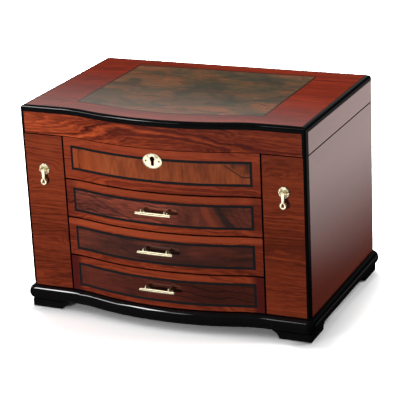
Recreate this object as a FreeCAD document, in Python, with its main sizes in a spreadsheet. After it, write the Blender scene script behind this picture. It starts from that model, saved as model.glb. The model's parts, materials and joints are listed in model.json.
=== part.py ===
"""Jewelry chest with a bowed front, a hinged lid, three drawers and two pull-out side towers.

Millimetres, +Z up, the front faces -Y and the felt pads stand on Z = 0. The origin lies under the middle
of the chest's outer box. The front of the middle section, the base moulding and the lid follow one
serpentine line: a crown arc in the middle, a hollow arc at each end of it, then the flat columns.
"""
import FreeCAD, Part
import math
import os
import re
import Sketcher

DOC = FreeCAD.newDocument("jewelry_chest")

SIZES = (
    ("width", 400.0, "body and lid, across"),
    ("depth", 257.5, "flat front to back"),
    ("body_height", 216.8, "top of the base moulding to the lid seam"),
    ("lid_height", 37.8, "seam to the top of the lid"),
    ("lid_gap", 0.4, "open seam under the lid"),
    ("bow", 19.6, "how far the middle stands forward of the flats"),
    ("bow_share", 0.27, "hollow radius as a share of both radii"),
    ("bow_lead", 3.3, "bow runs this far past the column seam"),
    ("column_width", 60.2, "side column, from the seam to the outer face"),
    ("felt_thick", 1.0, "felt pad"),
    ("felt_length", 38.0, "felt pad along the front"),
    ("felt_inset", 2.0, "felt pad inside the foot's edge"),
    ("foot_height", 10.5, "bracket foot"),
    ("foot_run", 54.6, "bracket foot along each face, at its top"),
    ("foot_cove", 10.1, "how much shorter the foot is at its bottom"),
    ("foot_cove_radius", 12.5, "hollow end of the foot"),
    ("foot_wall", 16.0, "thickness of the foot's legs"),
    ("foot_out", 2.5, "foot stands proud of the body"),
    ("base_thick", 20.0, "base moulding"),
    ("overhang", 8.5, "base moulding past the body"),
    ("base_corner", 12.0, "base moulding's corners in plan"),
    ("base_nose", 9.8, "bullnose edge of the moulding"),
    ("side_thick", 12.0, "side panel"),
    ("back_thick", 10.0, "back panel"),
    ("partition_thick", 8.0, "partition between middle and tower"),
    ("dust_thick", 4.0, "board under a drawer"),
    ("well_floor_thick", 5.0, "floor of the well"),
    ("front_thick", 8.0, "drawer and tower fronts at the flats"),
    ("front_gap", 0.3, "closing gap behind the fronts"),
    ("seam_gap", 1.2, "gap between column and middle"),
    ("drawer_gap", 1.5, "gap between drawer fronts"),
    ("base_gap", 0.8, "gap under the fronts"),
    ("edging_face", 3.0, "black corner edging seen from the front"),
    ("edging_side", 10.0, "black corner edging seen from the side"),
    ("edging_round", 2.6, "rounding of the black corners"),
    ("edge_gap", 0.3, "gap between tower front and edging"),
    ("apron_share", 0.2698, "fixed apron's share of the body's height, to its gap"),
    ("pitch_share", 0.2475, "share of the body's height from one gap to the next"),
    ("veneer_thick", 0.6, "inlaid veneer"),
    ("inlay_side", 11.4, "inlay's margin to the column seam"),
    ("inlay_margin", 20.16, "drawer pitch less the height of an inlay"),
    ("inlay_rise", 9.2, "inlay above the gap of the upper drawers"),
    ("inlay_rise_low", 7.6, "inlay above the base on the bottom drawer"),
    ("inlay_rise_apron", 13.8, "inlay above the gap of the apron"),
    ("tray_depth", 26.0, "side trays above the towers"),
    ("tray_floor_thick", 5.0, "floor of a side tray"),
    ("tray_wall", 6.0, "front wall of a side tray"),
    ("drawer_side_play", 0.8, "drawer box to partition"),
    ("drawer_lift", 0.3, "drawer box above its board"),
    ("drawer_headroom", 5.0, "drawer box below the board above"),
    ("drawer_back_play", 6.0, "drawer box to back panel"),
    ("drawer_wall", 6.0, "wall of a drawer box"),
    ("drawer_floor", 3.0, "floor of a drawer box"),
    ("soft_gap", 0.3, "air around the loose linings"),
    ("pad_thick", 3.0, "padded floor of the linings"),
    ("divider_thick", 4.0, "dividers of wells and drawers"),
    ("drawer_divider", 22.0, "height of the drawer dividers"),
    ("well_divider", 34.0, "height of the well's dividers"),
    ("lining_wall", 1.5, "fabric-covered wall of the well's lining"),
    ("lining_drop", 6.0, "well lining ends this far below the seam"),
    ("roll_height", 19.0, "ring rolls above the tray's floor"),
    ("roll_round", 6.6, "rounding of the ring rolls"),
    ("roll_gap", 0.9, "slot between two ring rolls"),
    ("tower_side_play", 0.8, "tower frame to partition and side"),
    ("tower_lift", 0.4, "tower frame above the base"),
    ("tower_headroom", 1.5, "tower frame below the side tray"),
    ("tower_board", 5.0, "boards of the tower frame"),
    ("tower_rim", 24.0, "rim of the tower's low tray"),
    ("tower_rim_wall", 3.0, "wall of the tower's low tray"),
    ("hook_wire", 0.9, "radius of a hook's wire"),
    ("hook_bend", 3.2, "radius of a hook's bend"),
    ("hook_shank", 5.0, "straight shank of a hook"),
    ("hook_sweep", 225.0, "how far round a hook bends"),
    ("hook_inset", 26.0, "first and last hook from the frame's ends"),
    ("pull_length", 51.5, "bar pull"),
    ("pull_radius", 2.0, "bar pull, in its middle"),
    ("pull_end_radius", 1.6, "bar pull, at its ends"),
    ("pull_stand", 12.0, "bar's centre line off the bowed front"),
    ("pull_posts", 33.0, "between the two posts"),
    ("pull_post_radius", 1.4, "post of a bar pull"),
    ("pull_foot_radius", 2.8, "post's foot"),
    ("pull_foot_thick", 1.2, "post's foot"),
    ("drop_height", 46.7, "rosette's centre below the seam"),
    ("drop_out", 1.2, "rosette's centre outward of the column front's middle"),
    ("rosette_radius", 8.0, "rosette"),
    ("rosette_thick", 2.4, "rosette at its middle"),
    ("rosette_rim", 0.8, "rosette at its rim"),
    ("ear_thick", 1.8, "ears that hold the pendant's pin"),
    ("ear_radius", 1.9, "ears round the pin"),
    ("pin_radius", 0.9, "pendant's pin"),
    ("pin_play", 0.05, "running clearance of pins in their bores"),
    ("hub_length", 5.8, "pendant's hub and neck, across"),
    ("hub_radius", 1.9, "pendant's hub"),
    ("hub_play", 0.3, "pendant's hub to the ears and the rosette"),
    ("pendant_thick", 2.2, "pendant"),
    ("pendant_width", 9.0, "pendant at its widest"),
    ("pendant_length", 23.0, "pin to the pendant's lowest round"),
    ("pendant_neck", 9.0, "pin to where the pendant widens"),
    ("pendant_hole", 4.2, "pendant's opening, across"),
    ("pendant_tip", 1.2, "drop at the pendant's end"),
    ("plate_width", 27.0, "oval keyhole plate"),
    ("plate_height", 20.0, "oval keyhole plate"),
    ("plate_thick", 1.2, "oval keyhole plate"),
    ("plate_drop", 15.1, "plate's centre below the seam"),
    ("plate_pins", 18.6, "between the plate's two pins"),
    ("plate_pin_radius", 0.9, "pin of the plate"),
    ("plate_pin_length", 6.0, "pin of the plate"),
    ("keyhole_radius", 3.0, "round of the keyhole"),
    ("keyhole_rise", 2.8, "keyhole's round above the plate's centre"),
    ("keyhole_slot", 3.4, "width of the keyhole's slot"),
    ("keyhole_length", 8.4, "round's centre to the slot's end"),
    ("lock_width", 40.0, "lock case"),
    ("lock_height", 26.0, "lock case"),
    ("lock_depth", 11.0, "lock case"),
    ("lock_wall", 1.2, "lock case"),
    ("lock_fit", 0.1, "lock case in its recess"),
    ("loop_place", 9.0, "strike's loops from the middle"),
    ("loop_thick", 2.0, "strike's loop, across"),
    ("loop_width", 6.0, "strike's loop, front to back"),
    ("loop_drop", 8.2, "loop's end below the seam"),
    ("loop_rim", 1.4, "metal round the loop's window"),
    ("loop_play", 0.6, "loops in the slots of the lock case"),
    ("bolt_depth", 2.6, "bolt, front to back"),
    ("bolt_bar", 3.0, "height of the bolt's bar and fingers"),
    ("bolt_finger", 4.0, "length of a bolt's finger"),
    ("bolt_lug", 2.0, "lug that carries a finger"),
    ("bolt_play", 0.5, "bolt in the loops and on its ledge"),
    ("bolt_travel", 4.4, "throw of the bolt"),
    ("strike_width", 40.0, "strike plate"),
    ("strike_depth", 9.0, "strike plate"),
    ("strike_thick", 1.5, "strike plate"),
    ("lid_board", 8.0, "top board and height of the black edging"),
    ("lid_edging", 6.0, "black edging in plan"),
    ("lid_round", 5.0, "rounding of the lid's edging"),
    ("lid_post", 5.0, "black corner post seen from the front"),
    ("lid_wall", 12.0, "side and back rails of the lid"),
    ("burl_side", 67.0, "burl inlay's margin to the sides"),
    ("burl_back", 30.0, "burl inlay's margin to the back"),
    ("burl_front", 34.0, "burl inlay's margin to the front"),
    ("mirror_frame_thick", 6.0, "frame round the mirror"),
    ("mirror_frame_play", 0.3, "mirror frame in the lid"),
    ("mirror_margin", 34.0, "frame seen round the mirror"),
    ("mirror_lap", 4.0, "mirror behind its frame"),
    ("mirror_thick", 3.0, "mirror"),
    ("mirror_play", 0.3, "mirror in its rebate"),
    ("hinge_place", 130.0, "hinges from the middle"),
    ("hinge_length", 46.0, "hinge"),
    ("leaf_thick", 1.2, "hinge leaf"),
    ("leaf_width", 8.0, "hinge leaf let into the wood"),
    ("knuckle_radius", 2.6, "hinge knuckles"),
    ("knuckle_gap", 0.3, "between knuckles and to the wood"),
    ("hinge_pin_radius", 1.2, "hinge pin"),
)

PLACES = (
    ("half", "width / 2"),
    ("base_low", "felt_thick + foot_height"),
    ("base_top", "base_low + base_thick"),
    ("body_top", "base_top + body_height"),
    ("lid_low", "body_top + lid_gap"),
    ("lid_top", "lid_low + lid_height"),
    ("ceiling", "lid_top - lid_board"),
    ("apron_height", "body_height * apron_share"),
    ("drawer_pitch", "body_height * pitch_share"),
    ("inlay_height", "drawer_pitch - inlay_margin"),
    ("gap_1", "body_top - apron_height"),
    ("gap_2", "gap_1 - drawer_pitch"),
    ("gap_3", "gap_2 - drawer_pitch"),
    ("tray_low", "body_top - tray_depth"),
    ("tray_under", "tray_low - tray_floor_thick"),
    ("front_reach", "max(bow + pull_stand + pull_radius ; bow + overhang)"),
    ("back_reach", "max(overhang ; 2 * knuckle_radius + knuckle_gap)"),
    ("front_y", "(front_reach - back_reach - depth) / 2"),
    ("back_y", "front_y + depth"),
    ("rail_y", "front_y + front_thick + front_gap"),
    ("back_in", "back_y - back_thick"),
    ("side_in", "half - side_thick"),
    ("seam_x", "half - column_width"),
    ("part_in", "seam_x - partition_thick / 2"),
    ("part_out", "seam_x + partition_thick / 2"),
    ("middle_end", "seam_x - seam_gap / 2"),
    ("column_in", "seam_x + seam_gap / 2"),
    ("column_out", "half - edging_face - edge_gap"),
    ("bow_end", "seam_x + bow_lead"),
    ("bow_slope", "bow / bow_end"),
    ("bow_sin", "2 * bow_slope / (1 + bow_slope ^ 2)"),
    ("bow_cos", "(1 - bow_slope ^ 2) / (1 + bow_slope ^ 2)"),
    ("bow_span", "bow_end / bow_sin"),
    ("hollow_radius", "bow_share * bow_span"),
    ("crown_radius", "bow_span - hollow_radius"),
    ("turn_x", "crown_radius * bow_sin"),
    ("turn_out", "hollow_radius * (1 - bow_cos)"),
    ("crown_y", "front_y - bow"),
    ("pull_seat_x", "pull_posts / 2 - pull_foot_radius"),
    ("pull_seat_in", "crown_radius - sqrt(crown_radius ^ 2 - pull_seat_x ^ 2)"),
    ("inlay_end", "seam_x - inlay_side"),
    ("box_end", "part_in - drawer_side_play"),
    ("box_back", "back_in - drawer_back_play"),
    ("tower_in", "part_out + tower_side_play"),
    ("tower_out", "side_in - tower_side_play"),
    ("tower_low", "base_top + tower_lift"),
    ("tower_top", "tray_under - tower_headroom"),
    ("hook_x", "(tower_in + tower_out) / 2"),
    ("drop_x", "(column_in + column_out) / 2 + drop_out"),
    ("drop_z", "body_top - drop_height"),
    ("pin_y", "front_y - rosette_thick - hub_play - hub_radius"),
    ("plate_z", "body_top - plate_drop"),
    ("keyhole_z", "plate_z + keyhole_rise"),
    ("lock_front", "rail_y - lock_depth"),
    ("lock_y", "rail_y - lock_depth / 2"),
    ("lock_low", "body_top - lock_height"),
    ("loop_low", "body_top - loop_drop"),
    ("finger_low", "loop_low + loop_rim + bolt_play"),
    ("finger_top", "finger_low + bolt_bar"),
    ("window_top", "finger_top + bolt_play"),
    ("bar_top", "loop_low - 2 * bolt_play"),
    ("bar_low", "bar_top - bolt_bar"),
    ("finger_tip", "loop_place - loop_thick / 2 - 2 * bolt_play"),
    ("lug_high", "finger_tip - bolt_finger"),
    ("lid_in_front", "front_y + edging_side"),
    ("lid_in_back", "back_y - lid_wall"),
    ("lid_in_side", "half - lid_wall"),
    ("mirror_low", "ceiling - mirror_thick"),
    ("barrel_y", "back_y + knuckle_radius + knuckle_gap / 2"),
    ("barrel_z", "body_top + lid_gap / 2"),
    ("knuckle_length", "(hinge_length - 2 * knuckle_gap) / 3"),
)

CELLS = {}
NODES = {}


def cells(text):
    """The same formula with every size and place named by its cell."""
    return re.sub(r"[a-z][a-z_0-9]*", lambda word: CELLS.get(word.group(0), word.group(0)), str(text))


def number(text):
    """The present value of a formula."""
    result = DOC.Sizes.evalExpression(cells(text))
    return float(getattr(result, "Value", result))


def fill_sheets():
    """The driving sizes as plain numbers, and the places that follow from them as formulas."""
    sizes = DOC.addObject("Spreadsheet::Sheet", "Sizes")
    for row, (name, size, meaning) in enumerate(SIZES, start=1):
        sizes.set(f"A{row}", meaning)
        sizes.set(f"B{row}", str(size))
        sizes.setAlias(f"B{row}", name)
        CELLS[name] = f"Sizes.{name}"
    places = DOC.addObject("Spreadsheet::Sheet", "Places")
    for row, (name, formula) in enumerate(PLACES, start=1):
        places.set(f"A{row}", formula)
        places.set(f"B{row}", "=" + cells(formula))
        places.setAlias(f"B{row}", name)
        CELLS[name] = f"Places.{name}"
    DOC.recompute()


def set_place(thing, x, y, z):
    """Binds a thing's position to three formulas."""
    for axis, text in zip("xyz", (x, y, z)):
        thing.setExpression(f".Placement.Base.{axis}", cells(text))


def board(name, x, y, z):
    """A straight board between two X, two Y and two Z places."""
    box = DOC.addObject("Part::Box", name)
    box.Label = name
    for side, (low, high) in zip(("Length", "Width", "Height"), (x, y, z)):
        box.setExpression(side, cells(f"({high}) - ({low})"))
    set_place(box, x[0], y[0], z[0])
    return box


def rod(name, axis, radius, start, length):
    """A round bar that runs from a start point along +X, +Y or +Z."""
    bar = DOC.addObject("Part::Cylinder", name)
    bar.Label = name
    turn = {"X": (FreeCAD.Vector(0, 1, 0), 90), "Y": (FreeCAD.Vector(1, 0, 0), -90)}
    if axis in turn:
        bar.Placement = FreeCAD.Placement(FreeCAD.Vector(), FreeCAD.Rotation(*turn[axis]))
    bar.setExpression("Radius", cells(radius))
    bar.setExpression("Height", cells(length))
    set_place(bar, *start)
    return bar


def joined(name, *pieces):
    """Several shapes glued into one."""
    whole = DOC.addObject("Part::MultiFuse", name)
    whole.Label = name
    whole.Shapes = list(pieces)
    whole.Refine = True
    return whole


def cut(name, base, *tools):
    """A shape with others taken out of it."""
    tool = tools[0]
    if len(tools) > 1:
        tool = joined(name + "_tools", *tools)
    rest = DOC.addObject("Part::Cut", name)
    rest.Label = name
    rest.Base = base
    rest.Tool = tool
    return rest


def mirrored(name, source):
    """The same piece on the other side of the middle plane."""
    twin = DOC.addObject("Part::Mirroring", name)
    twin.Label = name
    twin.Source = source
    twin.Normal = FreeCAD.Vector(1, 0, 0)
    return twin


def group(name, *pieces):
    """Like pieces that share one node as separate solids."""
    whole = DOC.addObject("Part::Compound", name)
    whole.Label = name
    whole.Links = list(pieces)
    return whole


def sketch_line(start, end, corner):
    """A straight side, or the arc that a corner asks for, and which of its ends comes first."""
    if len(corner) < 4:
        return Part.LineSegment(start, end), (1, 2)
    radius = number(corner[2])
    chord = end - start
    left = FreeCAD.Vector(-chord.y, chord.x, 0).normalize()
    lift = math.sqrt(max(radius ** 2 - chord.Length ** 2 / 4, 0.0))
    centre = (start + end) * 0.5 + left * (corner[3] * lift)
    forward = (start - centre).cross(end - centre).z > 0
    first, last = (start, end) if forward else (end, start)
    angles = [math.atan2((point - centre).y, (point - centre).x) for point in (first, last)]
    circle = Part.Circle(centre, FreeCAD.Vector(0, 0, 1), radius)
    return Part.ArcOfCircle(circle, *angles), (1, 2) if forward else (2, 1)


def sketch_outline(body, plane, outline):
    """A closed, fully placed outline on one of a body's own origin planes.

    A corner is its two places, and for an arc to the next corner also the radius and the side of its
    centre: 1 to the left of the way to the next corner, -1 to the right.
    """
    sketch = body.newObject("Sketcher::SketchObject", body.Name + "_outline")
    planes = {feature.Role: feature for feature in body.Origin.OriginFeatures}
    sketch.AttachmentSupport = (planes[f"{plane}_Plane"], "")
    sketch.MapMode = "FlatFace"
    corners = [FreeCAD.Vector(number(corner[0]), number(corner[1]), 0) for corner in outline]
    following = corners[1:] + corners[:1]
    drawn = [sketch_line(*side) for side in zip(corners, following, outline)]
    ends = [side[1] for side in drawn]
    sketch.addGeometry([side[0] for side in drawn], False)
    for index, corner in enumerate(outline):
        after = (index + 1) % len(outline)
        sketch.addConstraint(Sketcher.Constraint("Coincident", index, ends[index][1], after, ends[after][0]))
        for kind, text in (("DistanceX", corner[0]), ("DistanceY", corner[1])):
            rule = Sketcher.Constraint(kind, -1, 1, index, ends[index][0], number(text))
            sketch.setExpression(f"Constraints[{sketch.addConstraint(rule)}]", cells(text))
        if len(corner) == 4:
            rule = Sketcher.Constraint("Radius", index, number(corner[2]))
            sketch.setExpression(f"Constraints[{sketch.addConstraint(rule)}]", cells(corner[2]))
    return sketch


def prism(name, plane, outline, low, high):
    """A body whose outline is padded square to its plane, from one place to another."""
    body = DOC.addObject("PartDesign::Body", name)
    body.Label = name
    sketch = sketch_outline(body, plane, outline)
    start = f"-({high})" if plane == "XZ" else low
    sketch.setExpression(".AttachmentOffset.Base.z", cells(start))
    pad = body.newObject("PartDesign::Pad", name + "_pad")
    pad.Profile = sketch
    pad.setExpression("Length", cells(f"({high}) - ({low})"))
    return body


def turned(name, outline, axis, place):
    """A body turned on a lathe about X or -Y; the outline gives radius and place along the axis."""
    body = DOC.addObject("PartDesign::Body", name)
    body.Label = name
    sketch = sketch_outline(body, "XY", outline)
    revolution = body.newObject("PartDesign::Revolution", name + "_turning")
    revolution.Profile = sketch
    revolution.ReferenceAxis = (sketch, ["V_Axis"])
    revolution.Angle = 360
    angle = -90 if axis == "X" else 180
    body.Placement = FreeCAD.Placement(FreeCAD.Vector(), FreeCAD.Rotation(FreeCAD.Vector(0, 0, 1), angle))
    set_place(body, *place)
    return body


def soften(body, radius, wanted):
    """Rounds the edges of a body's last feature that a test picks."""
    DOC.recompute()
    base = body.Tip
    picked = [f"Edge{i}" for i, edge in enumerate(base.Shape.Edges, start=1) if wanted(edge)]
    fillet = body.newObject("PartDesign::Fillet", f"{body.Name}_{radius}")
    fillet.Base = (base, picked)
    fillet.setExpression("Radius", cells(radius))
    return body


def on_x(side, low, high):
    """Two X places on the right, or their mirror images on the left."""
    return (low, high) if side == "right" else (f"-({high})", f"-({low})")


def bow_y(offset, end):
    """Depth of the serpentine line, moved outward by an offset, where it is cut off near the seam."""
    return f"front_y - hollow_radius + sqrt((hollow_radius - ({offset})) ^ 2 - (bow_end - ({end})) ^ 2)"


def bow_line(offset, end="bow_end", back=False):
    """The serpentine line as three tangent arcs, from right to left, or from left to right."""
    y = bow_y(offset, end)
    turn_x = f"turn_x + ({offset}) * bow_sin"
    turn_y = f"front_y - turn_out - ({offset}) * bow_cos"
    hollow = f"hollow_radius - ({offset})"
    crown = f"crown_radius + ({offset})"
    if back:
        line = [(f"-({end})", y, hollow, -1), (f"-({turn_x})", turn_y, crown, 1)]
        return line + [(turn_x, turn_y, hollow, -1), (end, y)]
    line = [(end, y, hollow, 1), (turn_x, turn_y, crown, -1)]
    return line + [(f"-({turn_x})", turn_y, hollow, 1), (f"-({end})", y)]


def bowed_board(name, half_width, back, low, high, offset="0"):
    """A board with the serpentine front, flat columns and a straight back."""
    flat = f"front_y - ({offset})"
    outline = [(f"-({half_width})", back), (half_width, back), (half_width, flat)]
    outline += bow_line(offset) + [(f"-({half_width})", flat)]
    return prism(name, "XY", outline, low, high)


def middle_board(name, back, low, high):
    """A front of the middle section, cut off at the column seams."""
    outline = [("-middle_end", back), ("middle_end", back)] + bow_line("0", "middle_end")
    return prism(name, "XY", outline, low, high)


def bowed_strip(name, outer, inner, end, low, high):
    """A thin strip bent to the serpentine line, between two offsets from it."""
    outline = bow_line(outer, end) + bow_line(inner, end, back=True)
    return prism(name, "XY", outline, low, high)


def crown_strip(name, outer, inner, end, low, high):
    """A thin strip bent to the crown arc alone, between two offsets from it."""
    rim = []
    for radius, sides in ((f"crown_radius + ({outer})", (end, f"-({end})")),
                          (f"crown_radius + ({inner})", (f"-({end})", end))):
        y = f"crown_y + crown_radius - sqrt(({radius}) ^ 2 - ({end}) ^ 2)"
        bulge = -1 if sides[0] == end else 1
        rim += [(sides[0], y, radius, bulge), (sides[1], y)]
    return prism(name, "XY", rim, low, high)


def keep(piece):
    """Counts a finished sub-part among those that are written."""
    NODES[piece.Label] = piece
    return piece


def make_base():
    """Base moulding with a bullnose edge all round, its feet and their felt pads."""
    base = bowed_board("base_plinth", "half + overhang", "back_y + overhang", "base_low", "base_top", "overhang")
    corner_x = number("half")
    soften(base, "base_corner", lambda edge: is_upright(edge) and abs(edge.Vertexes[0].X) > corner_x)
    soften(base, "base_nose", is_level)
    keep(base)
    outer = "half + foot_out"
    feet = []
    pads = []
    for end, edge_y, way in (("front", "front_y - foot_out", 1), ("rear", "back_y + foot_out", -1)):
        long_leg = [(outer, "felt_thick"), (outer, "base_low"),
                    (f"{outer} - foot_run", "base_low", "foot_cove_radius", -1),
                    (f"{outer} - foot_run + foot_cove", "felt_thick")]
        wall = (edge_y, f"{edge_y} + foot_wall") if way > 0 else (f"{edge_y} - foot_wall", edge_y)
        across = prism(f"foot_{end}_across", "XZ", long_leg, *wall)
        short_leg = [(edge_y, "felt_thick"), (edge_y, "base_low"),
                     (f"{edge_y} + {way} * foot_run", "base_low", "foot_cove_radius", way),
                     (f"{edge_y} + {way} * (foot_run - foot_cove)", "felt_thick")]
        along = prism(f"foot_{end}_along", "YZ", short_leg, f"{outer} - foot_wall", outer)
        foot = joined(f"foot_{end}_right", across, along)
        feet += [foot, mirrored(f"foot_{end}_left", foot)]
        pad = board(f"felt_{end}_right", (f"{outer} - felt_inset - felt_length", f"{outer} - felt_inset"),
                    (f"{wall[0]} + felt_inset", f"{wall[1]} - felt_inset"), ("0", "felt_thick"))
        pads += [pad, mirrored(f"felt_{end}_left", pad)]
    keep(group("bracket_feet", *feet))
    keep(group("felt_pads", *pads))


def is_upright(edge):
    """A straight edge along Z."""
    first, last = edge.Vertexes[0], edge.Vertexes[-1]
    return abs(first.Z - last.Z) > 1 and math.hypot(first.X - last.X, first.Y - last.Y) < 0.01


def is_level(edge):
    """An edge that stays at one height."""
    return abs(edge.Vertexes[0].Z - edge.Vertexes[-1].Z) < 0.01


def make_carcass():
    """Sides, black corner edgings, back, partitions, dust boards, well floor and tray floors."""
    upright = ("base_top", "body_top")
    for side in ("left", "right"):
        keep(board(f"side_panel_{side}", on_x(side, "side_in", "half"),
                   ("front_y + edging_side", "back_y"), upright))
        keep(board(f"partition_{side}", on_x(side, "part_in", "part_out"), ("rail_y", "back_in"), upright))
    outline = [("half", "front_y"), ("half", "front_y + edging_side"), ("side_in", "front_y + edging_side"),
               ("side_in", "rail_y"), ("half - edging_face", "rail_y"), ("half - edging_face", "front_y")]
    edging = prism("corner_edging_right", "XY", outline, *upright)
    corner = (number("half"), number("front_y"))
    soften(edging, "edging_round", lambda edge: is_upright(edge) and is_near(edge.Vertexes[0], corner))
    keep(edging)
    keep(mirrored("corner_edging_left", edging))
    back = board("back_blank", ("-side_in", "side_in"), ("back_in", "back_y"), upright)
    seats = [leaf_seat("back", side, ("body_top - leaf_thick", "body_top")) for side in ("left", "right")]
    keep(cut("back_panel", back, *seats))
    inside = ("-part_in", "part_in")
    boards = [board(f"dust_board_{index}", inside, ("rail_y", "back_in"),
                    (f"{gap} - dust_thick / 2", f"{gap} + dust_thick / 2"))
              for index, gap in ((1, "gap_2"), (2, "gap_3"))]
    keep(group("dust_boards", *boards))
    keep(board("well_floor", inside, ("rail_y", "back_in"), ("gap_1", "gap_1 + well_floor_thick")))
    shelf = [("rail_y", "tray_under"), ("back_in", "tray_under"), ("back_in", "tray_low"),
             ("rail_y + tray_wall", "tray_low"), ("rail_y + tray_wall", "body_top"), ("rail_y", "body_top")]
    tray = prism("side_tray_right", "YZ", shelf, "part_out", "side_in")
    keep(group("side_trays", tray, mirrored("side_tray_left", tray)))


def is_near(vertex, place):
    """A vertex that stands over a plan position."""
    return math.hypot(vertex.X - place[0], vertex.Y - place[1]) < 0.01


def leaf_seat(owner, side, z):
    """The mortise that a hinge leaf lies in."""
    x = on_x(side, "hinge_place - hinge_length / 2", "hinge_place + hinge_length / 2")
    return board(f"leaf_seat_{owner}_{side}", x, ("back_y - leaf_width", "back_y"), z)


def keyhole(name, y):
    """A keyhole's round and slot as one cutter along Y."""
    hole = rod(f"{name}_round", "Y", "keyhole_radius", ("0", y[0], "keyhole_z"), f"({y[1]}) - ({y[0]})")
    slot = board(f"{name}_slot", ("-keyhole_slot / 2", "keyhole_slot / 2"), y,
                 ("keyhole_z - keyhole_length", "keyhole_z"))
    return joined(name, hole, slot)


def make_apron():
    """Fixed apron below the lid, its inlay, the keyhole plate with two pins, and the box lock."""
    blank = middle_board("apron_blank", "rail_y", "gap_1 + drawer_gap / 2", "body_top")
    bottom = "gap_1 + inlay_rise_apron"
    inlay = bowed_strip("apron_inlay_blank", "0", "-veneer_thick", "inlay_end", bottom, f"{bottom} + inlay_height")
    hole = keyhole("keyhole", ("crown_y - 2 * plate_thick", "lock_front + 2 * lock_wall"))
    recess = board("lock_recess", ("-lock_width / 2 - lock_fit", "lock_width / 2 + lock_fit"),
                   ("lock_front - lock_fit", "rail_y"), ("lock_low - lock_fit", "body_top"))
    pins = []
    pin_length = "plate_pin_length"
    for side, sign in (("left", "-"), ("right", "")):
        start = (f"{sign}plate_pins / 2", "crown_y - plate_thick", "plate_z")
        pins.append(rod(f"plate_pin_{side}", "Y", "plate_pin_radius", start, pin_length))
    pin_group = keep(group("escutcheon_pins", *pins))
    keep(cut("apron_panel", blank, inlay, hole, recess, *pins))
    keep(cut("apron_inlay", inlay, hole, *pins))
    strip = crown_strip("plate_blank", "plate_thick", "0", "plate_width", "plate_z - plate_height",
                        "plate_z + plate_height")
    oval = DOC.addObject("Part::Ellipse", "plate_oval")
    oval.Placement = FreeCAD.Placement(FreeCAD.Vector(), FreeCAD.Rotation(FreeCAD.Vector(1, 0, 0), 90))
    oval.setExpression("MajorRadius", cells("plate_width / 2"))
    oval.setExpression("MinorRadius", cells("plate_height / 2"))
    set_place(oval, "0", "lock_front", "plate_z")
    column = DOC.addObject("Part::Extrusion", "plate_column")
    column.Base = oval
    column.DirMode = "Custom"
    column.Dir = FreeCAD.Vector(0, -1, 0)
    column.Solid = True
    column.setExpression("LengthFwd", cells("bow + lock_depth + plate_thick"))
    plate = DOC.addObject("Part::Common", "plate_oval_bent")
    plate.Base = strip
    plate.Tool = column
    keep(cut("escutcheon", plate, hole, *pins))
    make_lock(hole)
    return pin_group


def make_lock(hole):
    """Box lock let into the apron from behind, with a bolt that slides through the strike's loops."""
    case = board("lock_block", ("-lock_width / 2", "lock_width / 2"), ("lock_front", "rail_y"),
                 ("lock_low", "body_top"))
    room = board("lock_room", ("-lock_width / 2 + lock_wall", "lock_width / 2 - lock_wall"),
                 ("lock_front + lock_wall", "rail_y - lock_wall"),
                 ("lock_low + lock_wall", "body_top - lock_wall"))
    shell = cut("lock_shell", case, room, hole, *[loop_slot(side) for side in ("left", "right")])
    ledge = board("lock_ledge", ("-lock_width / 2 + lock_wall / 2", "lock_width / 2 - lock_wall / 2"),
                  ("lock_y - bolt_depth / 2", "rail_y - lock_wall / 2"),
                  ("bar_low - bolt_play - lock_wall", "bar_low - bolt_play"))
    keep(joined("lock_case", shell, ledge))
    high = "lug_high"
    low = f"{high} - 2 * loop_place"
    reach = "lug_high + bolt_finger"
    outline = [(f"{low} - bolt_lug", "bar_low"), (high, "bar_low"), (high, "finger_low"),
               (reach, "finger_low"), (reach, "finger_top"), (f"{high} - bolt_lug", "finger_top"),
               (f"{high} - bolt_lug", "bar_top"), (low, "bar_top"), (low, "finger_low"),
               (f"{low} + bolt_finger", "finger_low"), (f"{low} + bolt_finger", "finger_top"),
               (f"{low} - bolt_lug", "finger_top")]
    keep(prism("lock_bolt", "XZ", outline, "lock_y - bolt_depth / 2", "lock_y + bolt_depth / 2"))


def loop_slot(side):
    """Slot in the lock case's top that a loop drops through."""
    reach = "loop_thick / 2 + loop_play"
    x = on_x(side, f"loop_place - ({reach})", f"loop_place + {reach}")
    depth = "loop_width / 2 + loop_play"
    return board(f"loop_slot_{side}", x, (f"lock_y - ({depth})", f"lock_y + {depth}"),
                 ("body_top - 2 * lock_wall", "body_top"))


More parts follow.
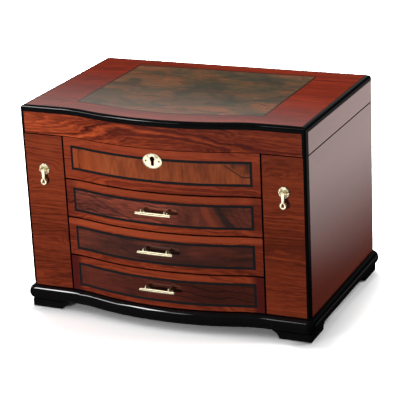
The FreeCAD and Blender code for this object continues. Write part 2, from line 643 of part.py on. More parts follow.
def make_linings():
    """Lining and dividers of the well, and the ring rolls in the side trays."""
    floor = "gap_1 + well_floor_thick + soft_gap"
    wide = "part_in - soft_gap"
    front = "rail_y + soft_gap"
    back = "back_in - soft_gap"
    block = board("well_block", (f"-({wide})", wide), (front, back), (floor, "body_top - lining_drop"))
    room = board("well_room", (f"-({wide} - lining_wall)", f"{wide} - lining_wall"),
                 (f"{front} + lining_wall", f"{back} - lining_wall"), (f"{floor} + pad_thick", "body_top"))
    keep(cut("well_lining", block, room))
    low = f"{floor} + pad_thick + soft_gap"
    z = (low, f"{low} + well_divider")
    side = f"{wide} - lining_wall - soft_gap"
    middle = "(rail_y + back_in) / 2"
    rear = f"{back} - lining_wall - soft_gap"
    bars = [board("well_divider_long", (f"-({side})", side),
                  (f"{middle} - divider_thick / 2", f"{middle} + divider_thick / 2"), z)]
    for number_, sign in enumerate(("-", ""), start=1):
        centre = f"{sign}({side}) / 3"
        bars.append(board(f"well_divider_{number_}", (f"{centre} - divider_thick / 2", f"{centre} + divider_thick / 2"),
                          (middle, rear), z))
    keep(joined("well_dividers", *bars))
    rolls = []
    for index in range(3):
        start = f"part_out + soft_gap + {index} * (({roll_width()}) + roll_gap)"
        stop = f"{start} + {roll_width()}"
        shoulder = "tray_low + soft_gap + roll_height - roll_round"
        top = "tray_low + soft_gap + roll_height"
        outline = [(start, "tray_low + soft_gap"), (stop, "tray_low + soft_gap"),
                   (stop, shoulder, "roll_round", 1), (f"{stop} - roll_round", top),
                   (f"{start} + roll_round", top, "roll_round", 1), (start, shoulder)]
        roll = prism(f"ring_roll_right_{index + 1}", "XZ", outline, "rail_y + tray_wall + soft_gap",
                     "back_in - soft_gap")
        rolls += [roll, mirrored(f"ring_roll_left_{index + 1}", roll)]
    keep(group("ring_rolls", *rolls))


def roll_width():
    """Width of one of the three rolls that share a side tray."""
    return "(side_in - part_out - 2 * soft_gap - 2 * roll_gap) / 3"


def make_lid():
    """Lid: black edging with corner posts, top board, burl inlay, rails, mirror and its frame."""
    ring = bowed_board("edging_ring", "half", "back_y", "ceiling", "lid_top")
    top = number("lid_top")
    soften(ring, "lid_round", lambda edge: is_level(edge) and edge.Vertexes[0].Z > top - 0.01)
    inner = "half - lid_edging"
    inside_back = "back_y - lid_edging"
    hole = bowed_board("edging_inside", inner, inside_back, "ceiling", "lid_top", "-lid_edging")
    posts = [board(f"edging_post_{side}", on_x(side, "half - lid_post", "half"),
                   ("front_y", "lid_in_front"), ("lid_low", "ceiling")) for side in ("left", "right")]
    frame = joined("edging_frame", cut("edging_border", ring, hole), *posts)
    shaving = [("half - edging_round", "front_y", "edging_round", 1), ("half", "front_y + edging_round"),
               ("half + edging_round", "front_y + edging_round"), ("half + edging_round", "front_y - edging_round"),
               ("half - edging_round", "front_y - edging_round")]
    corner = prism("edging_shaving_right", "XY", shaving, "lid_low", "lid_top")
    keep(cut("lid_edging", frame, corner, mirrored("edging_shaving_left", corner)))
    panel = bowed_board("lid_blank", inner, inside_back, "ceiling", "lid_top", "-lid_edging")
    burl_x = "half - burl_side"
    outline = [(f"-({burl_x})", "back_y - burl_back"), (burl_x, "back_y - burl_back")]
    outline += bow_line("-burl_front", burl_x)
    burl = keep(prism("lid_inlay", "XY", outline, "lid_top - veneer_thick", "lid_top"))
    keep(cut("lid_panel", panel, burl))
    rail = bowed_board("front_rail_blank", "half - lid_post", "lid_in_front", "lid_low", "ceiling")
    keep(cut("lid_front_rail", rail, strike_board("strike_seat")))
    rails = [board(f"lid_side_rail_{side}", on_x(side, "lid_in_side", "half"),
                   ("lid_in_front", "back_y"), ("lid_low", "ceiling")) for side in ("left", "right")]
    for rail in rails:
        keep(rail)
    back = board("back_rail_blank", ("-lid_in_side", "lid_in_side"), ("lid_in_back", "back_y"),
                 ("lid_low", "ceiling"))
    seats = [leaf_seat("lid", side, ("lid_low", "lid_low + leaf_thick")) for side in ("left", "right")]
    keep(cut("lid_back_rail", back, *seats))
    wide = "lid_in_side - mirror_frame_play"
    front = "lid_in_front + mirror_frame_play"
    back_edge = "lid_in_back - mirror_frame_play"
    plate = board("mirror_board", (f"-({wide})", wide), (front, back_edge),
                  ("ceiling - mirror_frame_thick", "ceiling"))
    keep(cut("mirror_frame", plate, mirror_room("mirror_view", "0", ("ceiling - mirror_frame_thick", "ceiling")),
             mirror_room("mirror_rebate", "mirror_lap", ("mirror_low", "ceiling"))))
    keep(mirror_room("mirror", "mirror_lap - mirror_play", ("mirror_low", "ceiling - mirror_play")))


def mirror_room(name, extra, z):
    """A block as large as the visible mirror, grown by an extra on each side."""
    wide = f"lid_in_side - mirror_margin + {extra}"
    return board(name, (f"-({wide})", wide),
                 (f"lid_in_front + mirror_margin - ({extra})", f"lid_in_back - mirror_margin + {extra}"), z)


def strike_board(name):
    """The strike plate's flat part, flush with the underside of the lid."""
    return board(name, ("-strike_width / 2", "strike_width / 2"),
                 ("lock_y - strike_depth / 2", "lock_y + strike_depth / 2"), ("lid_low", "lid_low + strike_thick"))


def make_strike():
    """Strike plate with two loops that hang into the lock."""
    pieces = [strike_board("strike_flat")]
    for side in ("left", "right"):
        x = on_x(side, "loop_place - loop_thick / 2", "loop_place + loop_thick / 2")
        tongue = board(f"loop_tongue_{side}", x, ("lock_y - loop_width / 2", "lock_y + loop_width / 2"),
                       ("loop_low", "lid_low + strike_thick / 2"))
        window = board(f"loop_window_{side}", x, ("lock_y - loop_width / 2 + loop_rim",
                                                  "lock_y + loop_width / 2 - loop_rim"),
                       ("loop_low + loop_rim", "window_top"))
        pieces.append(cut(f"loop_{side}", tongue, window))
    keep(joined("strike_plate", *pieces))


def make_hinges():
    """Two butt hinges let into the back panel and the lid's back rail, each with its own pin."""
    lower = []
    upper = []
    pins = []
    for side, sign in (("left", "-"), ("right", "")):
        start = f"{sign}hinge_place - hinge_length / 2"
        stop = f"{sign}hinge_place + hinge_length / 2"
        first = (start, f"{start} + knuckle_length")
        last = (f"{stop} - knuckle_length", stop)
        middle = (f"{first[1]} + knuckle_gap", f"{last[0]} - knuckle_gap")
        z_low = ("body_top - leaf_thick", "body_top")
        z_high = ("lid_low", "lid_low + leaf_thick")
        lower.append(hinge_leaf(f"hinge_leaf_lower_{side}", (start, stop), (first, last), z_low, "0"))
        upper.append(hinge_leaf(f"hinge_leaf_upper_{side}", (start, stop), (middle,), z_high, "pin_play"))
        pins.append(rod(f"hinge_pin_{side}", "X", "hinge_pin_radius", (start, "barrel_y", "barrel_z"),
                        "hinge_length"))
    keep(group("hinge_leaves_lower", *lower))
    keep(group("hinge_leaves_upper", *upper))
    keep(group("hinge_pins", *pins))


def hinge_leaf(name, span, knuckles, z, play):
    """A flat leaf in its mortise with its knuckles rolled round the pin."""
    pieces = [board(f"{name}_flat", span, ("back_y - leaf_width", "back_y"), z)]
    for index, (low, high) in enumerate(knuckles, start=1):
        pieces.append(board(f"{name}_tab_{index}", (low, high), ("back_y", "barrel_y"), z))
        pieces.append(rod(f"{name}_knuckle_{index}", "X", "knuckle_radius", (low, "barrel_y", "barrel_z"),
                          f"({high}) - ({low})"))
    bore = rod(f"{name}_bore", "X", f"hinge_pin_radius + {play}", (span[0], "barrel_y", "barrel_z"),
               "hinge_length")
    return cut(name, joined(f"{name}_rolled", *pieces), bore)


def make_drawers():
    """Three drawers: bowed front, inlay, box, lining and bar pull."""
    fronts = (("gap_2 + drawer_gap / 2", "gap_1 - drawer_gap / 2", "gap_2 + inlay_rise"),
              ("gap_3 + drawer_gap / 2", "gap_2 - drawer_gap / 2", "gap_3 + inlay_rise"),
              ("base_top + base_gap", "gap_3 - drawer_gap / 2", "base_top + inlay_rise_low"))
    bays = (("gap_2 + dust_thick / 2", "gap_1"), ("gap_3 + dust_thick / 2", "gap_2 - dust_thick / 2"),
            ("base_top", "gap_3 - dust_thick / 2"))
    for index, (front, bay, dividers) in enumerate(zip(fronts, bays, (3, 1, 0)), start=1):
        name = f"drawer_{index}"
        low, high, inlay_low = front
        blank = middle_board(f"{name}_front_blank", "front_y + front_thick", low, high)
        inlay = bowed_strip(f"{name}_inlay", "0", "-veneer_thick", "inlay_end", inlay_low,
                            f"{inlay_low} + inlay_height")
        keep(inlay)
        keep(cut(f"{name}_front", blank, inlay))
        make_box(name, f"{bay[0]} + drawer_lift", f"{bay[1]} - drawer_headroom", dividers)
        keep(bar_pull(name, f"({low} + {high}) / 2"))


def make_box(name, low, high, dividers):
    """A drawer's open box behind its front, and its padded lining with a few low dividers."""
    y = ("front_y + front_thick", "box_back")
    block = board(f"{name}_block", ("-box_end", "box_end"), y, (low, high))
    room = board(f"{name}_room", ("-box_end + drawer_wall", "box_end - drawer_wall"),
                 (f"{y[0]} + drawer_wall", f"{y[1]} - drawer_wall"), (f"{low} + drawer_floor", high))
    keep(cut(f"{name}_box", block, room))
    side = "box_end - drawer_wall - soft_gap"
    inner = (f"{y[0]} + drawer_wall + soft_gap", f"{y[1]} - drawer_wall - soft_gap")
    floor = f"{low} + drawer_floor + soft_gap"
    pieces = [board(f"{name}_pad", (f"-({side})", side), inner, (floor, f"{floor} + pad_thick"))]
    for place in range(1, dividers + 1):
        centre = f"-({side}) + 2 * ({side}) * {place} / {dividers + 1}"
        pieces.append(board(f"{name}_divider_{place}",
                            (f"{centre} - divider_thick / 2", f"{centre} + divider_thick / 2"), inner,
                            (f"{floor} + pad_thick / 2", f"{floor} + pad_thick + drawer_divider")))
    if dividers:
        keep(joined(f"{name}_lining", *pieces))
    else:
        pieces[0].Label = f"{name}_lining"
        keep(pieces[0])


def bar_pull(name, z):
    """A fixed brass bar, a little fuller in its middle, on two round posts with small feet."""
    swell = "pull_radius - pull_end_radius"
    sweep = f"(pull_length ^ 2 / 4 + ({swell}) ^ 2) / (2 * ({swell}))"
    outline = [("0", "-pull_length / 2"), ("pull_end_radius", "-pull_length / 2", sweep, 1),
               ("pull_end_radius", "pull_length / 2"), ("0", "pull_length / 2")]
    pieces = [turned(f"{name}_bar", outline, "X", ("0", "-pull_stand", "0"))]
    for side, sign in (("left", "-"), ("right", "")):
        x = f"{sign}pull_posts / 2"
        pieces.append(rod(f"{name}_post_{side}", "Y", "pull_post_radius", (x, "-pull_stand", "0"),
                          "pull_stand + pull_seat_in - pull_foot_thick / 2"))
        pieces.append(rod(f"{name}_post_foot_{side}", "Y", "pull_foot_radius",
                          (x, "pull_seat_in - pull_foot_thick", "0"), "pull_foot_thick"))
    pull = joined(f"{name}_pull", *pieces)
    set_place(pull, "0", "crown_y", z)
    return pull


def make_towers():
    """Two pull-out towers: front, open frame, a row of hooks, rosette and pendant."""
    for side in ("left", "right"):
        name = f"tower_{side}"
        keep(board(f"{name}_front", on_x(side, "column_in", "column_out"),
                   ("front_y", "front_y + front_thick"), ("base_top + base_gap", "body_top")))
        x = on_x(side, "tower_in", "tower_out")
        y = ("front_y + front_thick", "box_back")
        block = board(f"{name}_block", x, y, ("tower_low", "tower_top"))
        inner_y = (f"{y[0]} + tower_board", f"{y[1]} - tower_board")
        window = board(f"{name}_window", x, inner_y, ("tower_low + tower_rim", "tower_top - tower_board"))
        tray = board(f"{name}_tray", (f"{x[0]} + tower_rim_wall", f"{x[1]} - tower_rim_wall"), inner_y,
                     ("tower_low + tower_board", "tower_top - tower_board"))
        keep(cut(f"{name}_frame", block, window, tray))
        centre = "hook_x" if side == "right" else "-hook_x"
        keep(group(f"{name}_hooks", *[hook(name, index, centre) for index in range(5)]))
        make_drop(name, "drop_x" if side == "right" else "-drop_x")


def hook(name, index, centre):
    """A brass screw hook under the tower's top board."""
    first = "front_y + front_thick + hook_inset"
    last = "box_back - hook_inset"
    y = f"{first} + (({last}) - ({first})) * {index} / 4"
    bend_z = "tower_top - tower_board - hook_shank"
    shank = rod(f"{name}_hook_shank_{index}", "Z", "hook_wire", (f"{centre} + hook_bend", y, bend_z), "hook_shank")
    bend = DOC.addObject("Part::Torus", f"{name}_hook_bend_{index}")
    turn = FreeCAD.Rotation(FreeCAD.Vector(1, 0, 0), -90)
    bend.Placement = FreeCAD.Placement(FreeCAD.Vector(), turn)
    bend.setExpression("Radius1", cells("hook_bend"))
    bend.setExpression("Radius2", cells("hook_wire"))
    bend.setExpression("Angle3", cells("hook_sweep"))
    set_place(bend, centre, y, bend_z)
    return joined(f"{name}_hook_{index}", shank, bend)


def make_drop(name, x):
    """A drop pull: a domed rosette with two ears and a pin, and the pendant that hangs on it."""
    dome = "((rosette_thick - rosette_rim) ^ 2 + rosette_radius ^ 2) / (2 * (rosette_thick - rosette_rim))"
    outline = [("0", "0"), ("rosette_radius", "0"), ("rosette_radius", "rosette_rim", dome, 1),
               ("0", "rosette_thick")]
    pieces = [turned(f"{name}_dome", outline, "-Y", (x, "front_y", "drop_z"))]
    near = "hub_length / 2 + hub_play"
    for side, low, high in (("left", f"-({near}) - ear_thick", f"-({near})"), ("right", near, f"{near} + ear_thick")):
        span = (f"{x} + {low}", f"{x} + {high}")
        pieces.append(board(f"{name}_ear_{side}", span, ("pin_y", "front_y - rosette_rim"),
                            ("drop_z - ear_radius", "drop_z + ear_radius")))
        pieces.append(rod(f"{name}_ear_round_{side}", "X", "ear_radius", (span[0], "pin_y", "drop_z"), "ear_thick"))
    pieces.append(rod(f"{name}_pin", "X", "pin_radius", (f"{x} - ({near})", "pin_y", "drop_z"), f"2 * ({near})"))
    keep(joined(f"{name}_rosette", *pieces))
    hub = rod(f"{name}_hub", "X", "hub_radius", (f"{x} - hub_length / 2", "pin_y", "drop_z"), "hub_length")
    wide = "pendant_width / 2"
    low = f"drop_z - pendant_length + {wide}"
    plate = [(f"{x} - hub_length / 2", "drop_z"), (f"{x} - hub_length / 2", "drop_z - pendant_neck"),
             (f"{x} - {wide}", low, "pendant_width * 0.505", 1), (f"{x} + {wide}", low),
             (f"{x} + hub_length / 2", "drop_z - pendant_neck"), (f"{x} + hub_length / 2", "drop_z")]
    y = ("pin_y - pendant_thick / 2", "pin_y + pendant_thick / 2")
    leaf = prism(f"{name}_leaf", "XZ", plate, *y)
    tip = DOC.addObject("Part::Sphere", f"{name}_tip")
    tip.setExpression("Radius", cells("pendant_tip"))
    set_place(tip, x, "pin_y", "drop_z - pendant_length")
    slit = "pendant_hole / 8"
    pear = [(f"{x} - {slit}", "drop_z - pendant_neck"), (f"{x} - pendant_hole / 2", low, "pendant_hole * 0.51", 1),
            (f"{x} + pendant_hole / 2", low), (f"{x} + {slit}", "drop_z - pendant_neck")]
    opening = prism(f"{name}_pear", "XZ", pear, *y)
    bore = rod(f"{name}_bore", "X", "pin_radius + pin_play", (f"{x} - hub_length / 2", "pin_y", "drop_z"),
               "hub_length")
    keep(cut(f"{name}_pendant", joined(f"{name}_pendant_blank", hub, leaf, tip), opening, bore))


def check_document():
    """Stops if any feature failed or any finished piece is empty or broken."""
    DOC.recompute()
    broken = [thing.Name for thing in DOC.Objects if {"Invalid", "Error"} & set(thing.State)]
    if broken:
        raise RuntimeError("failed features: " + ", ".join(broken))
    for label, piece in NODES.items():
        if piece.Shape.isNull() or not piece.Shape.isValid() or not piece.Shape.Solids:
            raise RuntimeError("bad shape: " + label)


def write_parts():
    """One STEP file for each sub-part, named after it."""
    os.makedirs("parts", exist_ok=True)
    for label, piece in NODES.items():
        piece.Shape.exportStep(f"parts/{label}.step")
        solids = len(piece.Shape.Solids)
        print(f"{label}: {solids} solid(s), {piece.Shape.Volume / 1000:.2f} cm3")
    print(len(NODES), "nodes")


fill_sheets()
make_base()
make_carcass()
make_apron()
make_linings()
make_lid()
make_strike()
make_hinges()
make_drawers()
make_towers()
check_document()
write_parts()
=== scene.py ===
"""Looks of the jewelry chest: lacquer, veneers, brass, soft linings, the studio and the photograph's view.

Lengths are in metres; MM turns a size in millimetres into metres. The front faces -Y and +Z is up.
"""
import json
import math
import bmesh
import bpy
from mathutils import Matrix, Vector, noise

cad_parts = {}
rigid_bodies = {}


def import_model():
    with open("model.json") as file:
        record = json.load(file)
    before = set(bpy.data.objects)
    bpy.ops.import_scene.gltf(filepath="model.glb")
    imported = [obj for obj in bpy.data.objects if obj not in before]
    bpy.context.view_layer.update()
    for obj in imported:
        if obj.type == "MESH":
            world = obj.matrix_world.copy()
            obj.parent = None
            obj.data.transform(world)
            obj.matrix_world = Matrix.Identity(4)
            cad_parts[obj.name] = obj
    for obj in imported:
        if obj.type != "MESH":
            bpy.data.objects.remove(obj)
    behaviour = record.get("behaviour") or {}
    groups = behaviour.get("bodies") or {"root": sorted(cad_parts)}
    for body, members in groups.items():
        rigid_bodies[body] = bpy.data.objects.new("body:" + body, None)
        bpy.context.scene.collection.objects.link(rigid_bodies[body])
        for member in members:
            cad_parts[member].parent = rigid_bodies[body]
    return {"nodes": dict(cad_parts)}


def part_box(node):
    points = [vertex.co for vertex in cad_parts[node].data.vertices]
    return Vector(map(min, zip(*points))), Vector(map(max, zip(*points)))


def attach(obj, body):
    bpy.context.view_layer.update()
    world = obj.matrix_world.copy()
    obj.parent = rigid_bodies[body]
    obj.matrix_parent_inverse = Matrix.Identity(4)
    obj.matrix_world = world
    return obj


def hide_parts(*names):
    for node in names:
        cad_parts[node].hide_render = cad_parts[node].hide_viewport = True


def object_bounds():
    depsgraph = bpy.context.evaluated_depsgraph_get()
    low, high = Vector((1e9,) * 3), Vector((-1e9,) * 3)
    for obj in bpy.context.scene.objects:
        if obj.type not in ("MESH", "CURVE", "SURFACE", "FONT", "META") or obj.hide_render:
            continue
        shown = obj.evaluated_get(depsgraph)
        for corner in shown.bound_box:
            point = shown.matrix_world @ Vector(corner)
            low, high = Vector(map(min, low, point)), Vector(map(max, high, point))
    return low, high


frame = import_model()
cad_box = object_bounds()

MM = 0.001

# The photograph's view: about 25 degrees round to the right and 19 degrees up, from 2.2 m away with a
# long lens, the camera rolled a little to its side.
around, above, roll = math.radians(24.67), math.radians(19.43), math.radians(-2.78)
back = Vector((math.sin(around) * math.cos(above), -math.cos(around) * math.cos(above), math.sin(above)))
right = Vector((math.cos(around), math.sin(around), 0.0))
upward = back.cross(right)
picture_right = right * math.cos(roll) + upward * math.sin(roll)
picture_up = upward * math.cos(roll) - right * math.sin(roll)
camera = bpy.data.objects.new("camera", bpy.data.cameras.new("camera"))
camera.data.lens = 146.87
camera.data.sensor_width = 36.0
place = back * 2.224 - right * 0.0046 - upward * 0.0207 + Vector((0, 0.0133, 0.1516))
camera.matrix_world = Matrix((picture_right, picture_up, back)).transposed().to_4x4()
camera.matrix_world.translation = place
bpy.context.collection.objects.link(camera)
bpy.context.scene.camera = camera
bpy.context.scene.view_settings.view_transform = "Standard"


# Every material's nodes are written as sums and products of shades: a shade is one output of one node,
# and the signs + - * / between shades or numbers add Math nodes.
class Shade:
    """One value, place or colour on its way to a shader."""

    def __init__(self, tree, socket):
        self.tree = tree
        self.socket = socket

    def node(self, kind, inputs, out=0, stops=None, **settings):
        """Any node: its settings first, then the numbers or shades of its inputs."""
        new = self.tree.nodes.new("ShaderNode" + kind)
        for name, setting in settings.items():
            setattr(new, name, setting)
        for index, (position, colour) in enumerate(stops or ()):
            dots = new.color_ramp.elements
            dot = dots[index] if index < 2 else dots.new(position)
            dot.position = position
            dot.color = (*colour, 1.0)
        for key, value in inputs.items():
            if isinstance(value, Shade):
                self.tree.links.new(value.socket, new.inputs[key])
            else:
                new.inputs[key].default_value = value
        return Shade(self.tree, new.outputs[out])

    def math(self, operation, *others):
        """A Math node on this value and up to two others."""
        values = dict(enumerate((self, *others)))
        return self.node("Math", values, operation=operation)

    def __add__(self, other):
        return self.math("ADD", other)

    def __sub__(self, other):
        return self.math("SUBTRACT", other)

    def __mul__(self, other):
        return self.math("MULTIPLY", other)

    def __truediv__(self, other):
        return self.math("DIVIDE", other)

    def __pow__(self, other):
        return self.math("POWER", other)

    __radd__ = __add__
    __rmul__ = __mul__

    def __rsub__(self, other):
        return self.node("Math", {0: other, 1: self}, operation="SUBTRACT")

    def ramp(self, low, high):
        """0 up to low, 1 from high on, and smooth between."""
        inputs = {0: self, 1: low, 2: high, 3: 0.0, 4: 1.0}
        return self.node("MapRange", inputs, interpolation_type="SMOOTHSTEP")

    def tones(self, *stops):
        """A colour from this value by a ramp of (place, colour) stops."""
        return self.node("ValToRGB", {0: self}, stops=stops)

    def mix(self, first, second):
        """A colour: first where this value is 0, second where it is 1."""
        pair = [colour if isinstance(colour, Shade) else (*colour, 1.0) for colour in (first, second)]
        return self.node("Mix", {0: self, 6: pair[0], 7: pair[1]}, out=2, data_type="RGBA")

    def stretched(self, scale, shift=(0, 0, 0)):
        """A place measured in other units along X, Y and Z."""
        return self.node("Mapping", {"Vector": self, "Scale": scale, "Location": shift})

    def noise(self, scale=1.0, detail=2.0, rough=0.5, bend=0.0, out=0):
        """Soft noise at a place, around 0.5."""
        inputs = {"Vector": self, "Scale": scale, "Detail": detail, "Roughness": rough, "Distortion": bend}
        return self.node("TexNoise", inputs, out=out)

    def lanes(self, scale, detail, rough):
        """Noise along one number, around 0.5."""
        inputs = {"W": self, "Scale": scale, "Detail": detail, "Roughness": rough}
        return self.node("TexNoise", inputs, noise_dimensions="1D")

    def under(self, veil, share):
        """This colour with a plain share of another over it."""
        return self.node("Mix", {0: share, 6: self, 7: veil}, out=2, data_type="RGBA")

    def moved(self, other, amount):
        """A place pushed about by a noise colour."""
        centred = self.node("VectorMath", {0: other, 1: (0.5, 0.5, 0.5)}, operation="SUBTRACT")
        pushed = self.node("VectorMath", {0: centred, "Scale": amount}, operation="SCALE")
        return self.node("VectorMath", {0: self, 1: pushed}, operation="ADD")

    def part(self, axis):
        """One coordinate of a place."""
        return self.node("SeparateXYZ", {0: self}, out="XYZ".index(axis))

    def into(self, shader, name):
        """Feeds an input of a shader."""
        self.tree.links.new(self.socket, shader.inputs[name])


def finish(name, **constants):
    """A material with plain sockets set, its shader, and the place on the piece to paint it by."""
    material = bpy.data.materials.new(name)
    material.use_nodes = True
    tree = material.node_tree
    shader = tree.nodes["Principled BSDF"]
    for socket, value in constants.items():
        shader.inputs[socket.replace("_", " ")].default_value = value
    return material, shader, Shade(tree, tree.nodes.new("ShaderNodeTexCoord").outputs["Object"])


def bumped(shader, height, strength, distance):
    """Lets a height shade tilt the surface."""
    height.node("Bump", {"Height": height, "Strength": strength, "Distance": distance}).into(shader, "Normal")


# A white floor in a white studio: a small low key lamp from the front left, a soft lamp at the right,
# a long strip light over the front and a broad lamp high behind. For the camera the floor has painted shadows
# under the chest and beside its right side. What gloss mirrors of the floor is dim in front of the chest and
# pale beside it.
bpy.ops.object.select_all(action="DESELECT")
bpy.ops.mesh.primitive_plane_add(size=12.0)
floor = bpy.context.object
floor.name = "floor"
floor_white = bpy.data.materials.new("floor_white")
floor_white.use_nodes = True
tree = floor_white.node_tree
tree.nodes.clear()
spot = Shade(tree, tree.nodes.new("ShaderNodeTexCoord").outputs["Object"])
paths = tree.nodes.new("ShaderNodeLightPath").outputs
seen, mirrored = Shade(tree, paths["Is Camera Ray"]), Shade(tree, paths["Is Glossy Ray"])
x, y = spot.part("X"), spot.part("Y")
half_wide, half_deep = 0.18, 0.12
aside, ahead_or_behind = x.math("ABSOLUTE") - half_wide, y.math("ABSOLUTE") - half_deep
# Painted shadow for the camera: the floor is darker under the chest, and darker still beside its right side.
outside_floor_shadow = aside.math("MAXIMUM", ahead_or_behind).ramp(-0.02, 0.03)
painted_shadow_right = (1 - x.ramp(0.20, 0.33)) * x.ramp(0.17, 0.20) * (1 - ahead_or_behind.ramp(0.0, 0.05))
albedo_with_painted_shadows = painted_shadow_right.mix(outside_floor_shadow.mix((1.7, 1.7, 1.7), (3.1, 3.1, 3.1)), (1.05, 1.05, 1.05))
away = (x ** 2 + y ** 2) ** 0.5
seen_albedo_with_painted_shadows = away.ramp(0.8, 3.0).mix(albedo_with_painted_shadows, (20.0, 20.0, 20.0))
matt = spot.node("BsdfDiffuse", {"Color": seen.mix((0.28, 0.28, 0.28), seen_albedo_with_painted_shadows)})
beside = (x.math("ABSOLUTE") + y * 0.12).ramp(0.22, 0.52) * y.ramp(-0.05, 0.25)
ahead = (0 - y).ramp(0.3, 1.6)
card = spot.node("Emission", {"Color": (1.0, 1.0, 1.0, 1.0), "Strength": beside * 1.2 + ahead * 0.20 + 0.03})
shown = spot.node("MixShader", {0: mirrored, 1: matt, 2: card})
output = tree.nodes.new("ShaderNodeOutputMaterial")
tree.links.new(shown.socket, output.inputs["Surface"])
floor.data.materials.append(floor_white)

world = bpy.data.worlds.new("studio")
bpy.context.scene.world = world
world.use_nodes = True
tree = world.node_tree
tree.nodes.clear()
way = Shade(tree, tree.nodes.new("ShaderNodeTexCoord").outputs["Generated"])
paths = tree.nodes.new("ShaderNodeLightPath").outputs
seen = Shade(tree, paths["Is Camera Ray"]).math("MAXIMUM", Shade(tree, paths["Is Transmission Ray"]))
mirrored = Shade(tree, paths["Is Glossy Ray"])
low_sky = ((way.part("Z") - 0.262) * 33 - (way.part("X") + 0.39) * 6).ramp(0.0, 1.5)
sheen = low_sky * way.part("Y").ramp(0.0, 0.3) * (1 - way.part("Z").ramp(0.36, 0.50)) * 0.75
sky = sheen + way.part("Z").ramp(0.30, 0.8) * 0.05 + 0.03
dome = way.part("Z").ramp(-0.1, 0.9) * 0.24 + 0.05
strength = seen + (1 - seen) * (mirrored * sky + (1 - mirrored) * dome)
studio = way.node("Background", {"Color": (1.0, 1.0, 1.0, 1.0), "Strength": strength})
output = tree.nodes.new("ShaderNodeOutputWorld")
tree.links.new(studio.socket, output.inputs["Surface"])


def hung_lamp(name, position, target, width, height, power):
    """A rectangular lamp that faces its target."""
    lamp = bpy.data.objects.new(name, bpy.data.lights.new(name, "AREA"))
    lamp.data.shape = "RECTANGLE"
    lamp.data.size = width
    lamp.data.size_y = height
    lamp.data.energy = power
    lamp.location = position
    lamp.rotation_euler = (Vector(target) - Vector(position)).to_track_quat("-Z", "Y").to_euler()
    bpy.context.collection.objects.link(lamp)
    return lamp


for lamp_row in (("key_lamp", (-0.62, -1.40, 0.10), (0.0, 0.0, 0.14), 0.20, 0.15, 23.8),
                 ("side_lamp", (0.78, 0.28, 0.78), (0.15, 0.0, 0.20), 0.5, 0.5, 5.4),
                 ("front_light", (-0.86, -1.15, 1.75), (0.0, -0.1, 0.14), 1.6, 0.5, 2.6),
                 ("high_lamp", (-0.25, 0.80, 2.00), (0.0, 0.0, 0.1), 1.2, 0.8, 28.0)):
    hung_lamp(*lamp_row).visible_glossy = False


# Four bracket feet in black high-gloss lacquer under the corners, each on a thin black felt pad that is
# glued on and keeps the lacquer off the table.
def lacquer(name, coat=1.0):
    """Black piano lacquer: almost no colour, a hard clear coat and a trace of polishing marks."""
    material, shader, spot = finish(name, Coat_Roughness=0.03, Coat_IOR=1.5, Specular_IOR_Level=0.0)
    haze = spot.noise(95.0, 4.0, 0.6)
    side = spot.part("X").math("ABSOLUTE").ramp(0.1975, 0.1995)
    (coat - side * coat * 0.80 + haze * 0.02).into(shader, "Coat Weight")
    haze.mix((0.0014, 0.0013, 0.0014), (0.0034, 0.0031, 0.0034)).into(shader, "Base Color")
    (haze * 0.12 + 0.16).into(shader, "Roughness")
    bumped(shader, spot.noise(240.0, 2.0), 0.03, 0.0002)
    return material


def place_piece(piece, body, slot, material, *nodes):
    """Dresses a piece, hangs it on its body and lets it stand for its nodes."""
    piece.data.materials.clear()
    piece.data.materials.append(material)
    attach(piece, body)
    if nodes:
        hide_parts(*nodes)
    return piece


def recolour(node, material):
    """Gives a node that keeps its shape a better finish."""
    frame["nodes"][node].data.materials.clear()
    frame["nodes"][node].data.materials.append(material)


def alone(piece):
    """Selects one piece and nothing else."""
    bpy.ops.object.select_all(action="DESELECT")
    bpy.context.view_layer.objects.active = piece
    piece.select_set(True)


def open_mesh():
    """Edit mode on the active piece, all of it selected."""
    bpy.ops.object.mode_set(mode="EDIT")
    bpy.ops.mesh.select_all(action="SELECT")


def close_mesh(smooth_below=None):
    """Back to object mode, with faces shaded smooth where they meet at less than an angle in degrees."""
    bpy.ops.object.mode_set(mode="OBJECT")
    if smooth_below:
        bpy.ops.object.shade_smooth_by_angle(angle=math.radians(smooth_below))


def copy_of(node, name):
    """A merged copy of a node's mesh as a new piece, its flat faces in one."""
    piece = bpy.data.objects.new(name, frame["nodes"][node].data.copy())
    bpy.context.collection.objects.link(piece)
    alone(piece)
    open_mesh()
    bpy.ops.mesh.remove_doubles(threshold=2e-6)
    bpy.ops.mesh.customdata_custom_splitnormals_clear()
    bpy.ops.mesh.dissolve_limited(angle_limit=math.radians(0.4))
    close_mesh()
    return piece


SHARP, TOUCHING = 0.7, 1e-5


def eased(node, name, width):
    """A copy of a node whose outer sharp edges are rounded a little, as sanding leaves them."""
    piece = copy_of(node, name)
    low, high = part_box(node)
    bpy.ops.object.mode_set(mode="EDIT")
    bpy.ops.mesh.select_mode(type="EDGE")
    bpy.ops.mesh.select_all(action="DESELECT")
    mesh = bmesh.from_edit_mesh(piece.data)
    for edge in mesh.edges:
        first, last = (vert.co for vert in edge.verts)
        outer = any(abs(first[i] - side[i]) < TOUCHING and abs(last[i] - side[i]) < TOUCHING
                    for i in range(3) for side in (low, high))
        sharp = len(edge.link_faces) == 2 and edge.calc_face_angle(0.0) > SHARP
        edge.select = sharp and outer
    bmesh.update_edit_mesh(piece.data)
    bpy.ops.mesh.bevel(offset=width, segments=2, affect="EDGES", clamp_overlap=True)
    close_mesh(32)
    flats = piece.modifiers.new("flats", "WEIGHTED_NORMAL")
    flats.weight = 100
    flats.keep_sharp = True
    bpy.ops.object.modifier_apply(modifier="flats")
    return piece


black = lacquer("black_lacquer", 0.95)
black_edge = lacquer("black_edging", 0.35)
place_piece(eased("bracket_feet", "feet", 0.8 * MM), "chest", "black_lacquer", black, "bracket_feet")

